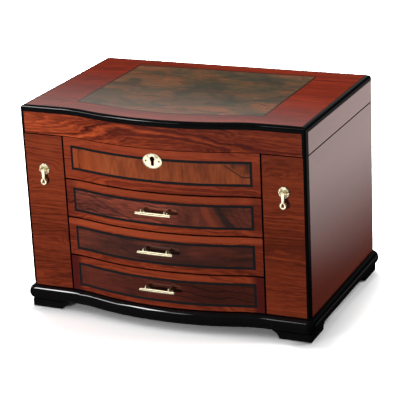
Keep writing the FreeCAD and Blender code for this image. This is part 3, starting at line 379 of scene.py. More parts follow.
felt_black, shader, spot = finish("felt_black", Roughness=0.95, Sheen_Weight=0.5, Sheen_Roughness=0.5)
fuzz = spot.noise(1800.0, 3.0, 0.7)
fuzz.mix((0.006, 0.006, 0.006), (0.030, 0.029, 0.028)).into(shader, "Base Color")
bumped(shader, fuzz, 0.6, 0.0003)
felts = eased("felt_pads", "felts", 0.3 * MM)
place_piece(felts, "chest", "felt", felt_black, "felt_pads")

# The base moulding: one solid board with a full bullnose edge that follows the bowed front, lacquered
# black. Two slim black edgings stand on it where the sides meet the front.
for node, material in (("base_plinth", black), ("corner_edging_left", black_edge),
                       ("corner_edging_right", black_edge)):
    recolour(node, material)


# The carcass: sides veneered in rosewood with the grain lying from front to back, under clear
# high-gloss lacquer. Back, partitions and inner boards are plain dark stained wood.
def lacquered(name, gloss=0.03):
    """A veneer's material under clear high-gloss lacquer that is a trace uneven."""
    material, shader, spot = finish(name, Coat_Weight=1.0, Coat_Roughness=gloss, Coat_IOR=1.52,
                                    Specular_IOR_Level=0.0)
    (spot.noise(60.0, 3.0) * 0.15 + 0.25).into(shader, "Roughness")
    bumped(shader, spot.noise(9.0, 1.0), 0.02, 0.002)
    return material, shader, spot


def rosewood(name, along="X", seed=0.0, light=(0.232, 0.0385, 0.0130), middle=(0.152, 0.0225, 0.0084),
             dark=(0.083, 0.0118, 0.0054), vein=0.6, arris=None, gloss=0.03, burr=1.0, ends=0.0, painted_top_highlight=0.0,
             painted_shade_right=0.0):
    """Glossy rosewood veneer: warm long-grained wood, thin dark flowing lines and fine short pores."""
    material, shader, spot = lacquered(name, gloss)
    wood = veneer(spot, along, seed, light, middle, dark, vein, burr)
    if painted_top_highlight:
        # Painted highlight: a lighter band along the top rail of the front.
        top = arris[1].z
        upper = spot.part("Z").ramp(top - 9.5 * MM, top - 7.5 * MM) * painted_top_highlight
        wood = upper.mix(wood, (0.290, 0.0520, 0.0190))
    if ends:
        stiles = spot.part("X").math("ABSOLUTE").ramp(0.118, 0.131) * ends
        wood = stiles.mix(wood, (0.052, 0.0062, 0.0055))
    # Painted shade: the veneer darkens towards the right, where less light falls on it.
    if painted_shade_right:
        wood = (spot.part("X").ramp(-0.03, 0.12) * painted_shade_right).mix(wood, (0.050, 0.0058, 0.0042))
    # The edges are stained near black; this also paints the shade that falls in the seams between parts.
    if arris:
        edge_stain_and_seam_shade = edge_mask(spot, *arris)
        wood = edge_stain_and_seam_shade.mix(wood, (0.004, 0.003, 0.003))
        (1 - edge_stain_and_seam_shade * 0.9).into(shader, "Coat Weight")
    wood.into(shader, "Base Color")
    return material


def edge_mask(spot, low, high, edges, width):
    """1 within a width of the named edges of a box, such as "-Z": the panel's edges, stained dark and painted
    with the shade that falls in its seams.
    """
    mask = None
    for edge in edges.split():
        index = "XYZ".index(edge[1])
        if edge[0] == "+":
            near = spot.part(edge[1]).ramp(high[index] - width, high[index] - width * 0.6)
        else:
            near = (0 - spot.part(edge[1])).ramp(-low[index] - width, -low[index] - width * 0.6)
        mask = near if mask is None else mask.math("MAXIMUM", near)
    return mask


def veneer(spot, along, seed, light, middle, dark, vein, burr=1.0):
    """The colour of a long-grained veneer at a place."""
    across = {"X": "Z", "Y": "Z", "Z": "X"}[along]
    long_units = [1.0, 1.0, 1.0]
    long_units["XYZ".index(along)] = 0.17
    flow = spot.stretched(long_units, (seed, seed * 1.7, seed * 0.6))
    drift = flow.noise(19.0, 2.0, 0.5)
    eddy = flow.stretched((1.0, 1.0, 1.0), (4.0, seed, 2.0)).noise(60.0, 3.0, 0.55)
    knots = spot.stretched((1.0, 1.0, 1.0), (seed, 1.0, 3.0)).noise(15.0, 1.0).ramp(0.60, 0.80) * burr
    lead = spot.part(across) + spot.part("Y" if across == "Z" and along == "X" else across) * 0.6
    ply = lead + (drift - 0.5) * 0.060 + (eddy - 0.5) * 0.016 + knots * 0.013 + seed
    lanes, lines = ply.lanes(230.0, 3.0, 0.6), ply.lanes(430.0, 1.0, 0.5)
    fibre = flow.stretched((1.0, 1.0, 1.0), (1.0, 2.0, seed)).noise(330.0, 4.0, 0.62)
    tone = drift * 0.40 + lanes * 0.40 + fibre * 0.30 - 0.03
    wood = tone.tones((0.41, dark), (0.52, middle), (0.64, light))
    faint = flow.stretched((1.0, 1.0, 1.0), (2.0, seed, 7.0)).noise(44.0, 2.0).ramp(0.38, 0.62)
    drawn = lines.ramp(0.57, 0.67) * (faint * 0.8 + 0.2 + knots * 0.6) * vein
    veined = drawn.mix(wood, (0.022, 0.0036, 0.0028))
    pores = flow.stretched((1.0, 1.0, 1.0), (seed, 5.0, 3.0)).noise(620.0, 2.0, 0.6).ramp(0.60, 0.75) * 0.4
    return pores.mix(veined, (0.040, 0.0060, 0.0035))


def stained(name, along="X", seed=0.0, light=(0.075, 0.021, 0.012), dark=(0.028, 0.0085, 0.006)):
    """Dark stained inner wood with a satin finish."""
    material, shader, spot = finish(name, Coat_Weight=0.25, Coat_Roughness=0.25)
    units = [90.0, 90.0, 90.0]
    units["XYZ".index(along)] = 5.0
    grain = spot.stretched(units, (seed, seed, seed)).noise(1.0, 5.0, 0.6, 0.5)
    grain.mix(dark, light).into(shader, "Base Color")
    (grain * 0.2 + 0.38).into(shader, "Roughness")
    bumped(shader, grain, 0.12, 0.0003)
    return material


side_tones = dict(light=(0.195, 0.0265, 0.0095), middle=(0.165, 0.0215, 0.0080), dark=(0.130, 0.0170, 0.0070))
side_veneer = rosewood("side_veneer", "Y", 3.2, vein=0.12, gloss=0.09, burr=0.0, **side_tones,
                       arris=(*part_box("side_panel_right"), "+Z", 1.0 * MM))
for side in ("left", "right"):
    piece = eased(f"side_panel_{side}", f"side_{side}", 0.5 * MM)
    place_piece(piece, "chest", "rosewood", side_veneer, f"side_panel_{side}")
stain_x = stained("stain_along_x", "X", 1.0)
stain_y = stained("stain_along_y", "Y", 2.0)
for node in ("dust_boards", "well_floor"):
    recolour(node, stain_x)
for node, material in (("back_panel", stain_x), ("partition_left", stain_y), ("partition_right", stain_y),
                       ("side_trays", stain_y)):
    place_piece(eased(node, node + "_wood", 0.4 * MM), "chest", "inner_wood", material, node)

# The fixed apron: one bowed board veneered like the drawers, with a figured panel inlaid between black
# stringing. Behind it sits the brass box lock; its bolt slides sideways.
STRING = 3.5 * MM
KEYHOLE_Z = 0.2345


def inlay(name, node, along, seed, tones, vein=0.8, figure=None):
    """A glossy inlaid panel with black stringing along its edges; where it shows in the keyhole it is painted
    black as shade.
    """
    material, shader, spot = lacquered(name)
    low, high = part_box(node)
    light, middle, dark = tones
    x, z = spot.part("X"), spot.part("Z")
    wood = veneer(spot, along, seed, light, middle, dark, vein)
    if figure:
        wood = figure(spot, x, high.z - z, wood)
    sides = (x - (low.x + high.x) / 2).math("ABSOLUTE") - ((high.x - low.x) / 2 - STRING)
    ends = (z - (low.z + high.z) / 2).math("ABSOLUTE") - ((high.z - low.z) / 2 - STRING)
    border = sides.math("MAXIMUM", ends).ramp(-0.0001, 0.0001)
    # Painted shade: the panel is black round the keyhole, where it shows through.
    outside_keyhole_shade = (x ** 2 + (z - KEYHOLE_Z) ** 2).ramp(0.0075 ** 2, 0.008 ** 2)
    wood = border.mix(wood, (0.0092, 0.0085, 0.0090))
    outside_keyhole_shade.mix((0.001, 0.001, 0.001), wood).into(shader, "Base Color")
    return material


def feathered(spot, x, drop, wood):
    """Fine feathery streaks from top to bottom, a smoky left end and a dark forked vein at the right."""
    sway = spot.noise(30.0, 2.0, 0.5) - 0.5
    plume = spot.stretched((1.0, 1.0, 0.20), (3.0, 1.0, 2.0)).noise(150.0, 4.0, 0.62, 0.8)
    hair = spot.stretched((1.0, 1.0, 0.10), (1.0, 4.0, 2.0)).noise(520.0, 3.0, 0.6, 0.4)
    glow = spot.stretched((1.0, 1.0, 0.6), (8.0, 1.0, 2.0)).noise(26.0, 2.0)
    tone = plume * 0.42 + hair * 0.25 + glow * 0.40
    base = tone.tones((0.38, (0.085, 0.0190, 0.0085)), (0.54, (0.190, 0.0420, 0.0150)),
                      (0.72, (0.290, 0.0700, 0.0220)))
    warm = (1 - (x + 0.128).ramp(0.0, 0.075)) * 0.55
    base = warm.mix(base, (0.250, 0.0400, 0.0100))
    from_left = (x + 0.1135 + sway * 0.012).math("ABSOLUTE")
    smoke = (1 - from_left.ramp(0.001, 0.006)) * plume.ramp(0.35, 0.6) * 0.75
    base = smoke.mix(base, (0.040, 0.0085, 0.0050))
    fall = ((x - 0.0935) * 0.78).math("MINIMUM", 0.0165) + 0.0045 + sway * 0.004
    vein = (1 - (drop - fall).math("ABSOLUTE").ramp(0.0004, 0.0016)) * x.ramp(0.0925, 0.0945)
    over = (fall - drop).ramp(0.0, 0.007) * x.ramp(0.094, 0.104) * spot.noise(75.0, 3.0).ramp(0.30, 0.62)
    return (vein * 0.85).math("MAXIMUM", over * 0.72).mix(base, (0.018, 0.0120, 0.0095))


def swept(spot, x, drop, wood):
    """A red band, a dark sweeping edge and faint contour lines right of the middle; fine slants left."""
    sway = spot.noise(24.0, 3.0, 0.55) - 0.5
    inner_haze = spot.stretched((1.0, 1.0, 1.0), (5.0, 1.0, 2.0)).noise(48.0, 3.0).ramp(0.30, 0.60)
    reach = (((x - 0.150) * 0.80) ** 2 + ((drop + 0.004) * 1.05) ** 2 + 0.00001) ** 0.5
    out = reach + sway * 0.006 - 0.0569
    band = out.ramp(0.000, 0.003) * (1 - out.ramp(0.013, 0.024))
    core = (1 - (out - 0.0105).math("ABSOLUTE").ramp(0.001, 0.0055)) * 0.8
    edge = 1 - (out + 0.0030).math("ABSOLUTE").ramp(0.0010, 0.0060)
    smoky = out.ramp(-0.024, -0.008) * inner_haze * (1 - drop.ramp(0.006, 0.020))
    inner = 1 - out.ramp(-0.0040, 0.0)
    contour = (out * 900 + sway * 6).math("SINE").ramp(0.55, 1.0) * inner
    slant = (drop - (x + 0.118) * 0.36 + sway * 0.010).math("ABSOLUTE")
    trace = (1 - slant.ramp(0.0003, 0.0016)) * (1 - x.ramp(-0.05, -0.02))
    second = (drop - (x + 0.118) * 0.22 - 0.010 + sway * 0.014).math("ABSOLUTE")
    trace = trace.math("MAXIMUM", (1 - second.ramp(0.0003, 0.0014)) * 0.6 * (1 - x.ramp(-0.08, -0.03)))
    upright = spot.stretched((1.0, 1.0, 0.22), (2.0, 1.0, 5.0)).noise(75.0, 3.0, 0.6)
    middle = x.ramp(0.018, 0.040) * (1 - inner)
    brown = upright.tones((0.34, (0.022, 0.0085, 0.0070)), (0.66, (0.110, 0.0270, 0.0160)))
    wood = (middle * 0.8).mix(wood, brown)
    wood = (band * 0.7).mix(wood, (0.095, 0.0215, 0.0130))
    wood = (core * 0.8).mix(wood, (0.180, 0.0350, 0.0160))
    wood = (inner * 0.70).mix(wood, (0.052, 0.0150, 0.0105))
    wood = (contour * 0.45).mix(wood, (0.030, 0.0100, 0.0080))
    dark = (edge * 0.85).math("MAXIMUM", trace * 0.6).math("MAXIMUM", smoky * inner * 0.7)
    return dark.mix(wood, (0.014, 0.0105, 0.0090))


def smoked(spot, x, drop, wood):
    """Broad soft smoky streaks that lie along the panel."""
    haze = spot.stretched((0.13, 1.0, 1.0), (6.0, 2.0, 1.3)).noise(70.0, 4.0, 0.6, 0.3)
    veil = haze.tones((0.38, (0.018, 0.0100, 0.0085)), (0.52, (0.060, 0.0175, 0.0120)),
                      (0.66, (0.135, 0.0290, 0.0165)))
    wood = wood.under(veil, 0.72)
    return (x.ramp(0.0, 0.09) * 0.4).mix(wood, (0.022, 0.0070, 0.0050))


def waved(spot, x, drop, wood):
    """Red at the left, then brown with fine wavy lines that fall to the right."""
    sway = spot.noise(21.0, 3.0, 0.55) - 0.5
    level = (drop - x * 0.10 + sway * 0.022) * 620
    wave = level.math("SINE").ramp(0.70, 1.0) * x.ramp(-0.01, 0.03) * 0.7
    haze = spot.stretched((0.35, 1.0, 1.0), (3.0, 2.0, 1.0)).noise(42.0, 3.0, 0.55)
    veil = haze.tones((0.34, (0.026, 0.0090, 0.0065)), (0.54, (0.072, 0.0150, 0.0090)),
                      (0.72, (0.125, 0.0230, 0.0120)))
    wood = wood.under(veil, 0.65)
    wood = (x.ramp(-0.08, 0.08) * 0.6).mix(wood, (0.022, 0.0050, 0.0035))
    return wave.mix(wood, (0.008, 0.0040, 0.0035))


# EDGE: the width of the near-black front edges, a stain that also paints the seams' shade.
EDGE = 0.85 * MM
# The apron and the drawer fronts carry a painted highlight along their top rails.
apron_veneer = rosewood("apron_veneer", "X", 1.3, painted_top_highlight=0.15, light=(0.262, 0.0430, 0.0150),
                        middle=(0.190, 0.0285, 0.0105), dark=(0.115, 0.0165, 0.0070),
                        arris=(*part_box("apron_panel"), "-X +X -Z", EDGE))
place_piece(eased("apron_panel", "apron", 0.4 * MM), "chest", "rosewood", apron_veneer, "apron_panel")
apron_tones = ((0.29, 0.070, 0.022), (0.19, 0.042, 0.015), (0.085, 0.019, 0.0085))
recolour("apron_inlay", inlay("apron_figure", "apron_inlay", "Z", 5.1, apron_tones, 0.3, feathered))


def brass(name, colour=(1.0, 0.90, 0.62), rough=0.20, metal=0.85, unshaded=None):
    """Polished pale brass with faint handling marks, painted black as shade where a function of the place gives
    0.
    """
    material, shader, spot = finish(name, Metallic=metal, Specular_IOR_Level=0.5)
    marks = spot.noise(420.0, 3.0, 0.6)
    deeper = tuple(part * 0.82 for part in colour)
    shown = marks.mix(deeper, colour)
    if unshaded:
        # Painted shade: black and not metallic where the function gives 0.
        unshaded_share = unshaded(spot)
        shown = unshaded_share.mix((0.004, 0.004, 0.003), shown)
        (unshaded_share * metal).into(shader, "Metallic")
    shown.into(shader, "Base Color")
    (marks * 0.12 + (rough - 0.06)).into(shader, "Roughness")
    bumped(shader, spot.noise(700.0, 2.0), 0.05, 0.0002)
    return material


polished = brass("polished_brass")
plain_brass = brass("plain_brass", (0.62, 0.50, 0.27), 0.28, 1.0)
for node in ("lock_case", "lock_bolt", "strike_plate"):
    recolour(node, plain_brass)


# The oval keyhole plate: stamped brass bent to the bowed front, its rim rolled up, held by two small
# slotted pins.
def bent_rod(name, points, thickness, radii=None, closed=False, resolution=6):
    """A round bar along a smooth curve through control points, as a mesh with closed ends."""
    line = bpy.data.curves.new(name, "CURVE")
    line.dimensions = "3D"
    line.bevel_depth = thickness / 2
    line.bevel_resolution = 4
    line.resolution_u = resolution
    line.use_fill_caps = True
    spline = line.splines.new("NURBS")
    spline.points.add(len(points) - 1)
    for index, point in enumerate(points):
        spline.points[index].co = (*point, 1.0)
        spline.points[index].radius = radii[index] if radii else 1.0
    spline.use_cyclic_u = closed
    spline.order_u = 3
    spline.use_endpoint_u = not closed
    piece = bpy.data.objects.new(name, line)
    bpy.context.collection.objects.link(piece)
    alone(piece)
    bpy.ops.object.convert(target="MESH")
    open_mesh()
    bpy.ops.mesh.remove_doubles(threshold=1e-6)
    bpy.ops.mesh.normals_make_consistent(inside=False)
    close_mesh(40)
    return bpy.context.object


def welded(name, pieces):
    """Several meshes joined as one piece."""
    bpy.ops.object.select_all(action="DESELECT")
    for piece in pieces:
        piece.select_set(True)
    bpy.context.view_layer.objects.active = pieces[0]
    bpy.ops.object.join()
    bpy.context.object.name = name
    return bpy.context.object


def shape(add, name, **settings):
    """A plain mesh shape as a new piece, its place, turn and size applied."""
    bpy.ops.object.select_all(action="DESELECT")
    add(**settings)
    bpy.context.object.name = name
    bpy.ops.object.transform_apply(location=True, rotation=True, scale=True)
    return bpy.context.object


def ease_edges(piece, width):
    """Rounds every sharp edge of the active piece."""
    rounding = piece.modifiers.new("ease", "BEVEL")
    rounding.width = width
    rounding.segments = 3
    rounding.limit_method = "ANGLE"
    bpy.ops.object.modifier_apply(modifier="ease")
    bpy.ops.object.shade_smooth_by_angle(angle=math.radians(40))


def turned_disc(name, place, axis, radius, length, ease, count=32):
    """A short round of brass with eased edges along X, Y or Z, centred on a place."""
    tilt = {"X": (0.0, math.pi / 2, 0.0), "Y": (math.pi / 2, 0.0, 0.0), "Z": (0.0, 0.0, 0.0)}[axis]
    piece = shape(bpy.ops.mesh.primitive_cylinder_add, name, vertices=count, radius=radius, depth=length,
                  location=place, rotation=tilt)
    ease_edges(piece, ease)
    return piece


low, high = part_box("escutcheon")
middle = (low + high) / 2
CROWN_RADIUS = 0.3885
plate = copy_of("escutcheon", "keyhole_plate")
ease_edges(plate, 0.3 * MM)
rim_points = []
rim_inset, rim_steps = 0.65 * MM, 48
for step in range(rim_steps):
    angle = math.tau * step / rim_steps
    x = (high.x - rim_inset) * math.cos(angle)
    z = middle.z + ((high.z - low.z) / 2 - rim_inset) * math.sin(angle)
    rim_points.append((x, low.y + 0.1 * MM + x * x / (2 * CROWN_RADIUS), z))
rim = bent_rod("plate_rim", rim_points, 1.25 * MM, closed=True, resolution=3)
plate = welded("keyhole_plate", [plate, rim])


def outside_plate_keyhole_shade(spot):
    """0 in the keyhole and within half a millimetre of its edge, where the brass is painted black as shade, 1
    on the plate around it.
    """
    hole_radius, slot_half, slot_length = 3.0 * MM, 1.7 * MM, 8.4 * MM
    round_z = middle.z + 2.8 * MM
    x, z = spot.part("X"), spot.part("Z")
    top = (x ** 2 + (z - round_z) ** 2) ** 0.5 - hole_radius
    slot = (x.math("ABSOLUTE") - slot_half).math("MAXIMUM", z - round_z)
    slot = slot.math("MAXIMUM", (round_z - slot_length) - z)
    return top.math("MINIMUM", slot).ramp(0.40 * MM, 0.60 * MM)


place_piece(plate, "chest", "brass", brass("plate_brass", unshaded=outside_plate_keyhole_shade), "escutcheon")
pins = []
pin_x, cut_half, cut_deep = 9.3 * MM, 0.18 * MM, 0.45 * MM
for sign in (-1, 1):
    x = sign * pin_x
    head = turned_disc("plate_pin", (x, low.y - 0.15 * MM, middle.z), "Y", 1.15 * MM, 0.9 * MM, 0.35 * MM)
    bpy.ops.object.mode_set(mode="EDIT")
    for side in (-1, 1):
        bpy.ops.mesh.select_all(action="SELECT")
        bpy.ops.mesh.bisect(plane_co=(x, 0, middle.z + side * cut_half), plane_no=(0, 0, 1))
    mesh = bmesh.from_edit_mesh(head.data)
    slot_faces = [face for face in mesh.faces if face.normal.y < -0.9
                  and abs(face.calc_center_median().z - middle.z) < cut_half - 0.01 * MM]
    for vert in {vert for face in slot_faces for vert in face.verts}:
        vert.co.y += cut_deep
    bmesh.update_edit_mesh(head.data)
    close_mesh()
    pins.append(head)
old_brass = brass("old_brass", (0.30, 0.25, 0.12), 0.30, 1.0)
place_piece(welded("plate_pins", pins), "chest", "brass", old_brass, "escutcheon_pins")


# The well behind the apron: a fabric-covered card lining, wrapped dividers and a padded floor. The side
# trays hold stuffed rolls that rings are pressed between.
def suede(name, colour=(0.66, 0.57, 0.43)):
    """Short-pile beige suede cloth: brushed patches and a fine nap."""
    material, shader, spot = finish(name, Roughness=0.92, Sheen_Weight=0.45, Sheen_Roughness=0.45)
    brushed = spot.noise(28.0, 3.0, 0.6)
    nap = spot.noise(1500.0, 4.0, 0.7)
    deeper = tuple(part * 0.74 for part in colour)
    (brushed * 0.55 + nap * 0.5).ramp(0.30, 0.75).mix(deeper, colour).into(shader, "Base Color")
    bumped(shader, nap, 0.45, 0.0003)
    return material


PAD_SHOULDER = 9 * MM


def pad(name, low, high, crown, seed):
    """A thin stuffed pad: crowned on top, its sides pulled in a little between the corners."""
    size, middle = high - low, (low + high) / 2
    piece = shape(bpy.ops.mesh.primitive_cube_add, name, size=1.0, location=middle, scale=size)
    open_mesh()
    bpy.ops.mesh.subdivide(number_cuts=19)
    close_mesh()
    for vert in piece.data.vertices:
        u = 2 * (vert.co.x - middle.x) / size.x
        v = 2 * (vert.co.y - middle.y) / size.y
        w = (vert.co.z - low.z) / size.z
        edge_x, edge_y = 1 - abs(u), 1 - abs(v)
        near = min(edge_x * size.x, edge_y * size.y) / 2
        full = min(1.0, near / PAD_SHOULDER)
        round_off = 1 - (1 - full) ** 2
        pull = 0.9 * MM * (1 - (2 * w - 1) ** 2)
        vert.co.x -= math.copysign(1, u) * (0.6 * MM * (1 - v * v) - pull * 0.4) * (abs(u) > 0.999)
        vert.co.y -= math.copysign(1, v) * (0.6 * MM * (1 - u * u) - pull * 0.4) * (abs(v) > 0.999)
        sag = noise.noise(Vector((vert.co.x * 30 + seed, vert.co.y * 30, seed))) * 0.35 * MM
        vert.co.z += w * (crown * (round_off - 0.55) + sag * full)
    bpy.ops.object.shade_smooth_by_angle(angle=math.radians(50))
    return piece


beige = suede("beige_suede")
lining = eased("well_lining", "well_walls", 0.6 * MM)
place_piece(lining, "chest", "velvet", beige, "well_lining")
dividers = eased("well_dividers", "well_partitions", 1.3 * MM)
place_piece(dividers, "chest", "velvet", beige, "well_dividers")
low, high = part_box("well_lining")
bars_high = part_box("well_dividers")[1]
wall, half_bar = 2.0 * MM, 2.3 * MM
across = (low.y + high.y) / 2
third = bars_high.x / 3
rooms = [((low.x + wall, low.y + wall), (high.x - wall, across - half_bar)),
         ((-third + half_bar, across + half_bar), (third - half_bar, high.y - wall)),
         ((low.x + wall, across + half_bar), (-third - half_bar, high.y - wall)),
         ((third + half_bar, across + half_bar), (high.x - wall, high.y - wall))]
for index, (first, last) in enumerate(rooms, start=1):
    cushion = pad(f"well_pad_{index}", Vector((*first, low.z + 1.2 * MM)), Vector((*last, low.z + 4.2 * MM)),
                  1.0 * MM, index * 3.3)
    place_piece(cushion, "chest", "velvet", beige)


def ring_roll(name, low, high, seed):
    """A stuffed roll with a rounded top, swept along Y, its cloth a little wavy and its ends drawn in."""
    size, middle = high - low, (low + high) / 2
    piece = shape(bpy.ops.mesh.primitive_circle_add, name, vertices=36, radius=1.0, fill_type="NGON",
                  rotation=(math.pi / 2, 0, 0))
    for vert in piece.data.vertices:
        side, up = vert.co.x, vert.co.z
        blunt = math.copysign(abs(side) ** 0.62, side)
        rise = math.copysign(abs(up) ** (1.0 if up > 0 else 0.45), up)
        vert.co = Vector((middle.x + blunt * size.x / 2, low.y, middle.z + rise * size.z / 2))
    open_mesh()
    steps = 44
    for step in range(steps):
        bpy.ops.mesh.extrude_region_move(TRANSFORM_OT_translate={"value": (0, size.y / steps, 0)})
    bpy.ops.mesh.select_all(action="SELECT")
    bpy.ops.mesh.normals_make_consistent(inside=False)
    close_mesh()
    drawn_end = 7 * MM
    for vert in piece.data.vertices:
        along = min(vert.co.y - low.y, high.y - vert.co.y)
        drawn = 1 - 0.20 * (1 - min(1.0, along / drawn_end)) ** 2
        soft = noise.noise(Vector((vert.co.x * 90 + seed, vert.co.y * 45, vert.co.z * 90))) * 0.016
        offset = vert.co - Vector((middle.x, vert.co.y, low.z))
        offset.x *= drawn * (0.985 + soft)
        offset.z *= drawn * (0.985 + soft) if offset.z > 0.3 * size.z else 1.0
        vert.co = Vector((middle.x, vert.co.y, low.z)) + offset
    bpy.ops.object.shade_smooth_by_angle(angle=math.radians(60))
    return piece


low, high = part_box("ring_rolls")
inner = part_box("partition_right")[1].x + 0.3 * MM
gap = 0.9 * MM
breadth = (high.x - inner - 2 * gap) / 3
rolls = []
for sign in (-1, 1):
    for index in range(3):
        start = inner + index * (breadth + gap)
        ends = sorted((sign * start, sign * (start + breadth)))
        rolls.append(ring_roll("ring_roll", Vector((ends[0], low.y, low.z)), Vector((ends[1], high.y, high.z)),
                               sign * 5.0 + index))
rolls = welded("ring_rolls_soft", rolls)
place_piece(rolls, "chest", "velvet", beige, "ring_rolls")

# The lid: rails veneered like the body, a broad rosewood border on top round a burl panel with a fine
# dark line, and a rounded black edging that runs down the front corners.
# The front rail's veneer is painted darker towards the right, as shade.
lid_front = rosewood("lid_front_veneer", "X", 8.4, light=(0.400, 0.0680, 0.0180),
                     middle=(0.200, 0.0295, 0.0095), dark=(0.078, 0.0110, 0.0052), vein=1.0, painted_shade_right=0.5,
                     arris=(*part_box("lid_front_rail"), "-Z", 0.5 * MM))
lid_side = rosewood("lid_side_veneer", "Y", 4.4, vein=0.12, gloss=0.09, burr=0.0, **side_tones,
                    arris=(*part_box("lid_side_rail_right"), "-Z", 1.0 * MM))
place_piece(eased("lid_front_rail", "lid_front", 0.4 * MM), "lid", "rosewood", lid_front, "lid_front_rail")
for side in ("left", "right"):
    piece = eased(f"lid_side_rail_{side}", f"lid_side_{side}", 0.4 * MM)
    place_piece(piece, "lid", "rosewood", lid_side, f"lid_side_rail_{side}")
place_piece(eased("lid_back_rail", "lid_back", 0.4 * MM), "lid", "inner_wood", stain_x, "lid_back_rail")
recolour("lid_edging", black_edge)
recolour("lid_panel", rosewood("lid_border_veneer", "X", 6.6, light=(0.300, 0.0290, 0.0085),
                               middle=(0.235, 0.0230, 0.0070), dark=(0.150, 0.0150, 0.0055), vein=0.35))

burl, shader, spot = lacquered("burl_panel")
low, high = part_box("lid_inlay")
swirl = spot.noise(11.0, 3.0, 0.55, out=1)
bent = spot.moved(swirl, 0.045)
clouds = bent.stretched((8.0, 17.0, 9.0), (2.0, 4.0, 1.0)).noise(1.0, 7.0, 0.68, 0.9)
grain = bent.stretched((13.0, 105.0, 90.0)).noise(1.0, 5.0, 0.65, 0.4)
ply = bent.part("Y") + (clouds - 0.5) * 0.04
lanes = ply.lanes(120.0, 3.0, 0.6)
knots = bent.stretched((15.0, 24.0, 20.0), (9.0, 3.0, 0.0)).noise(1.0, 4.0, 0.6, 0.8).ramp(0.54, 0.64)
tone = clouds * 0.60 + grain * 0.28 + lanes * 0.18 - 0.03
wood = tone.tones((0.40, (0.058, 0.052, 0.035)), (0.485, (0.125, 0.073, 0.038)), (0.55, (0.220, 0.084, 0.038)),
                  (0.65, (0.370, 0.108, 0.048)))
wood = (knots * 0.6).mix(wood, (0.046, 0.041, 0.029))
threads = (grain * 0.6 + lanes).ramp(0.80, 0.94) * 0.65
wood = threads.mix(wood, (0.050, 0.0340, 0.0210))
x, y = spot.part("X"), spot.part("Y")
FLAT_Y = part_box("tower_left_front")[0].y
HOLLOW_RADIUS, HOLLOW_X, BOW = 0.1437, 0.1431, 19.6 * MM
TURN_X, TURN_LEAN = 0.10446, 0.26888
set_back = 34.0 * MM
turn_x = TURN_X - set_back * TURN_LEAN
crown_middle = FLAT_Y - BOW + CROWN_RADIUS
front_crown = crown_middle - ((CROWN_RADIUS - set_back) ** 2 - x * x) ** 0.5
reach = HOLLOW_X - x.math("ABSOLUTE")
front_hollow = FLAT_Y - HOLLOW_RADIUS + ((HOLLOW_RADIUS + set_back) ** 2 - reach * reach) ** 0.5
outside = x.math("ABSOLUTE").ramp(turn_x - 0.0001, turn_x + 0.0001)
front_line = outside * front_hollow + (1 - outside) * front_crown
line = 2.4 * MM
border = (x.math("ABSOLUTE") - (high.x - line)).math("MAXIMUM", y - (high.y - line))
border = border.math("MAXIMUM", (front_line + line) - y).ramp(-0.0001, 0.0001)
border.mix(wood, (0.016, 0.013, 0.010)).into(shader, "Base Color")
recolour("lid_inlay", burl)

silver, shader, spot = finish("mirror_silver", Metallic=1.0, Roughness=0.02)
spot.noise(3.0, 1.0).mix((0.86, 0.88, 0.88), (0.90, 0.91, 0.91)).into(shader, "Base Color")
recolour("mirror", silver)
place_piece(eased("mirror_frame", "mirror_surround", 0.8 * MM), "lid", "inner_wood", stain_x, "mirror_frame")

# Two brass butt hinges let into the back edge and the lid, each leaf held by three countersunk screws.
hinge_brass = brass("hinge_brass", (0.72, 0.60, 0.35), 0.22, 1.0)
for node in ("hinge_leaves_lower", "hinge_leaves_upper", "hinge_pins"):
    recolour(node, hinge_brass)
for node, body, name, face, way in (("hinge_leaves_lower", "chest", "hinge_screws_lower", 1, 1),
                                    ("hinge_leaves_upper", "lid", "hinge_screws_upper", 0, -1)):
    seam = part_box("back_panel")[1].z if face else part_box("lid_back_rail")[0].z
    back_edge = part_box("back_panel")[1].y
    heads = []
    hinge_x, screw_step, screw_inset = 130.0 * MM, 15.0 * MM, 4.4 * MM
    for sign in (-1, 1):
        for step in (-screw_step, 0.0, screw_step):
            head_at = (sign * hinge_x + step, back_edge - screw_inset, seam - way * 0.25 * MM)
            heads.append(turned_disc("screw", head_at, "Z", 1.7 * MM, 0.6 * MM, 0.12 * MM, 20))
    place_piece(welded(name, heads), body, "brass", plain_brass)

